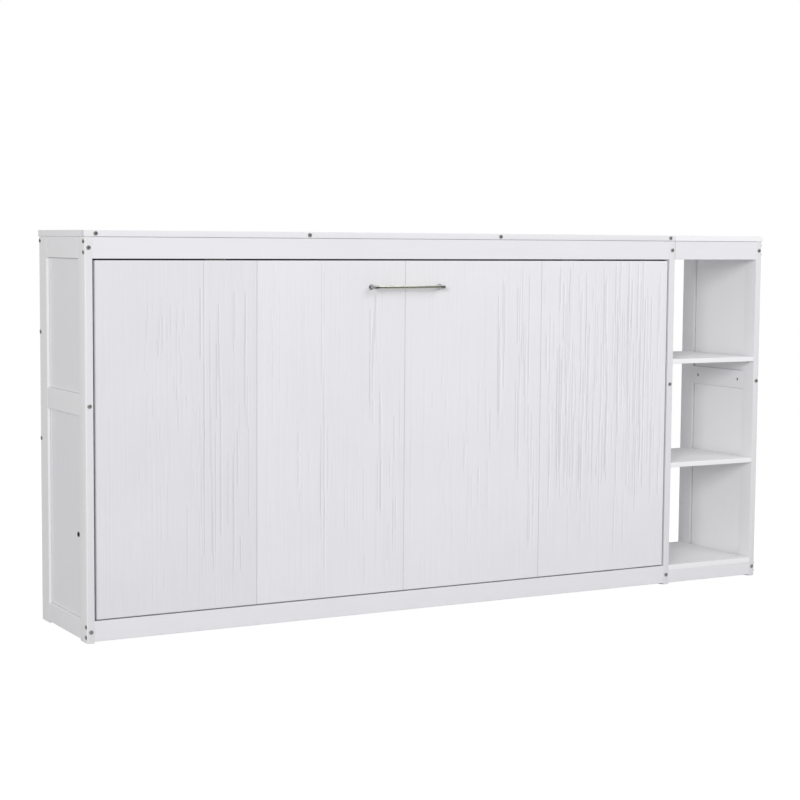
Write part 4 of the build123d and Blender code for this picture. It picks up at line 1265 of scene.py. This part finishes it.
@dataclass
class Studio:
    """The floor, the lights, the white surround and the camera."""

    camera_place: Triple = (-2.9427, -5.1017, 1.1439)
    camera_yaw: float = math.radians(29.14)
    camera_pitch: float = math.radians(4.94)
    camera_roll: float = math.radians(0.43)
    lens_mm: float = 83.53
    floor_radius: float = 3.4
    floor_rings: int = 24
    floor_segments: int = 64
    floor_grey: float = 0.55
    floor_glow: float = 1.25
    glow_share: float = 0.78
    fade_start: float = 1.9
    fade_margin: float = 0.1
    soft_sky: Pair = (0.12, 0.75)
    mirrored_sky: Pair = (0.45, 0.8)
    shadow_half_length: float = 1.19
    shadow_depth: Pair = (-0.14, 0.21)
    shadow_softness: float = 0.02
    zenith: float = 0.5
    horizon: float = 0.6
    mirrored_wall: float = 0.1
    mirrored_ceiling: float = 1.7
    lamps: tuple[Lamp, ...] = (
        Lamp("key", (2.2, -3.8, 3.2), (0.0, 0.0, 0.6), 2.4, 68.0),
        Lamp("front_left", (-6.6, -7.2, 3.0), (0.3, 0.0, 0.6), 2.4, 385.0),
    )

    def camera(self) -> None:
        """Stands the camera at eye height to the left of the front, turned by yaw, pitch and roll.

        Formula: forward = (sin yaw cos pitch, cos yaw cos pitch, -sin pitch); right is level; up is their
        cross product; right and up are then turned by the roll.
        """
        yaw, pitch, roll = self.camera_yaw, self.camera_pitch, self.camera_roll
        forward = Vector((math.sin(yaw) * math.cos(pitch), math.cos(yaw) * math.cos(pitch), -math.sin(pitch)))
        level = Vector((math.cos(yaw), -math.sin(yaw), 0.0))
        over = level.cross(forward)
        right = level * math.cos(roll) + over * math.sin(roll)
        up = over * math.cos(roll) - level * math.sin(roll)
        data = bpy.data.cameras.new("camera")
        data.lens = self.lens_mm
        data.sensor_width = 36.0
        camera = bpy.data.objects.new("camera", data)
        turn = Matrix((right, up, -forward)).transposed()
        camera.matrix_world = Matrix.Translation(self.camera_place) @ turn.to_4x4()
        bpy.context.scene.collection.objects.link(camera)
        bpy.context.scene.camera = camera

    def world(self) -> None:
        """A plain white surround to look at, whose own light is strong overhead and weak at eye height."""
        world = bpy.data.worlds.new("surround")
        wires = emptied(world)
        height = wires.axes(wires.node("ShaderNodeTexCoord").outputs["Generated"])["Z"]
        rays = wires.node("ShaderNodeLightPath").outputs
        soft = wires.stretch(height, *self.soft_sky, self.horizon, self.zenith)
        mirrored = wires.stretch(height, *self.mirrored_sky, self.mirrored_wall, self.mirrored_ceiling)
        cast = wires.node("ShaderNodeMix", {0: rays["Is Glossy Ray"], 2: soft, 3: mirrored}).outputs[0]
        shown = wires.math("MAXIMUM", cast, rays["Is Camera Ray"])
        light = wires.node("ShaderNodeBackground", {"Color": (1.0, 1.0, 1.0, 1.0), "Strength": shown})
        wires.node("ShaderNodeOutputWorld", {"Surface": light.outputs[0]})
        bpy.context.scene.world = world

    def outside(self, wires: Wires, place: Socket) -> Socket:
        """A mask that is 0 on the floor inside the cabinet's footprint and 1 elsewhere.

        Args:
            wires: the floor material's wires.
            place: the point on the floor.

        Returns:
            The mask.
        """
        axes = wires.axes(place)
        half_length, (front, rear), soft = self.shadow_half_length, self.shadow_depth, self.shadow_softness
        across = wires.math("ABSOLUTE", axes["X"])
        along = wires.math("ABSOLUTE", wires.math("SUBTRACT", axes["Y"], (front + rear) / 2))
        half_depth = (rear - front) / 2
        past_end = wires.stretch(across, half_length - soft, half_length)
        past_side = wires.stretch(along, half_depth - soft, half_depth)
        return wires.math("MAXIMUM", past_end, past_side)

    def floor(self) -> None:
        """A round pale floor that fades into the surround towards its rim."""
        ring = np.linspace(0.0, self.floor_radius, self.floor_rings + 1)[1:]
        segments = self.floor_segments
        turn = np.linspace(0.0, FULL_TURN, segments, endpoint=False)
        x, y = ring[:, None] * np.cos(turn), ring[:, None] * np.sin(turn)
        points = np.stack([x, y, np.zeros_like(x)], axis=-1).reshape(-1, 3)
        middle = fan(len(points), np.arange(segments))
        quads = tube_quads(self.floor_rings, segments)[:, ::-1]
        points = np.concatenate([points, np.zeros((1, 3))])
        mesh = bpy.data.meshes.new("floor")
        mesh.from_pydata(points.tolist(), [], quads.tolist() + middle.tolist())
        floor = bpy.data.objects.new("floor", mesh)
        bpy.context.scene.collection.objects.link(floor)
        made = bpy.data.materials.new("pale_floor")
        wires = emptied(made)
        place = wires.place()
        away = wires.vector("LENGTH", {0: place}, "Value")
        matt = wires.node("ShaderNodeBsdfDiffuse", {"Color": rgba((self.floor_grey,) * 3)})
        glow = wires.node("ShaderNodeEmission", {"Color": (1.0, 1.0, 1.0, 1.0), "Strength": self.floor_glow})
        seen = wires.node("ShaderNodeLightPath").outputs["Is Camera Ray"]
        share = wires.math("MULTIPLY", wires.math("MULTIPLY", seen, self.glow_share), self.outside(wires, place))
        lit = wires.node("ShaderNodeMixShader", {0: share, 1: matt.outputs[0], 2: glow.outputs[0]})
        clear = wires.node("ShaderNodeBsdfTransparent")
        fade = wires.stretch(away, self.fade_start, self.floor_radius - self.fade_margin)
        mixed = wires.node("ShaderNodeMixShader", {0: fade, 1: lit.outputs[0], 2: clear.outputs[0]})
        wires.node("ShaderNodeOutputMaterial", {"Surface": mixed.outputs[0]})
        mesh.materials.append(made)

    def build(self) -> None:
        """Sets the whole studio up."""
        self.camera()
        self.world()
        self.floor()
        for lamp in self.lamps:
            lamp.hang()
        view = bpy.context.scene.view_settings
        view.view_transform = "Standard"
        view.look = "None"


def main() -> None:
    """Builds every sub-assembly in order."""
    logging.basicConfig(level=logging.INFO, format="%(name)s: %(message)s")
    # the left and right frames take lighter copies of the paint: painted light on the left side and inside the shelf
    # unit
    parts = [SideFrame("left", -1, PAINTED_LIGHT_PAINT), SideFrame("middle"), SideFrame("right", 1, PAINTED_LIGHT_PAINT, PAINTED_LIGHT_SHELF_PANEL)]
    parts += [CabinetShell(), FrontPlanks(), BedBox(), Fasteners(), BedPivots()]
    parts += [BarHandle(), FoldLegs(), Catches(), Studio()]
    for part in parts:
        part.build()
        LOG.info("built %s", type(part).__name__)


if __name__ == "__main__":
    main()
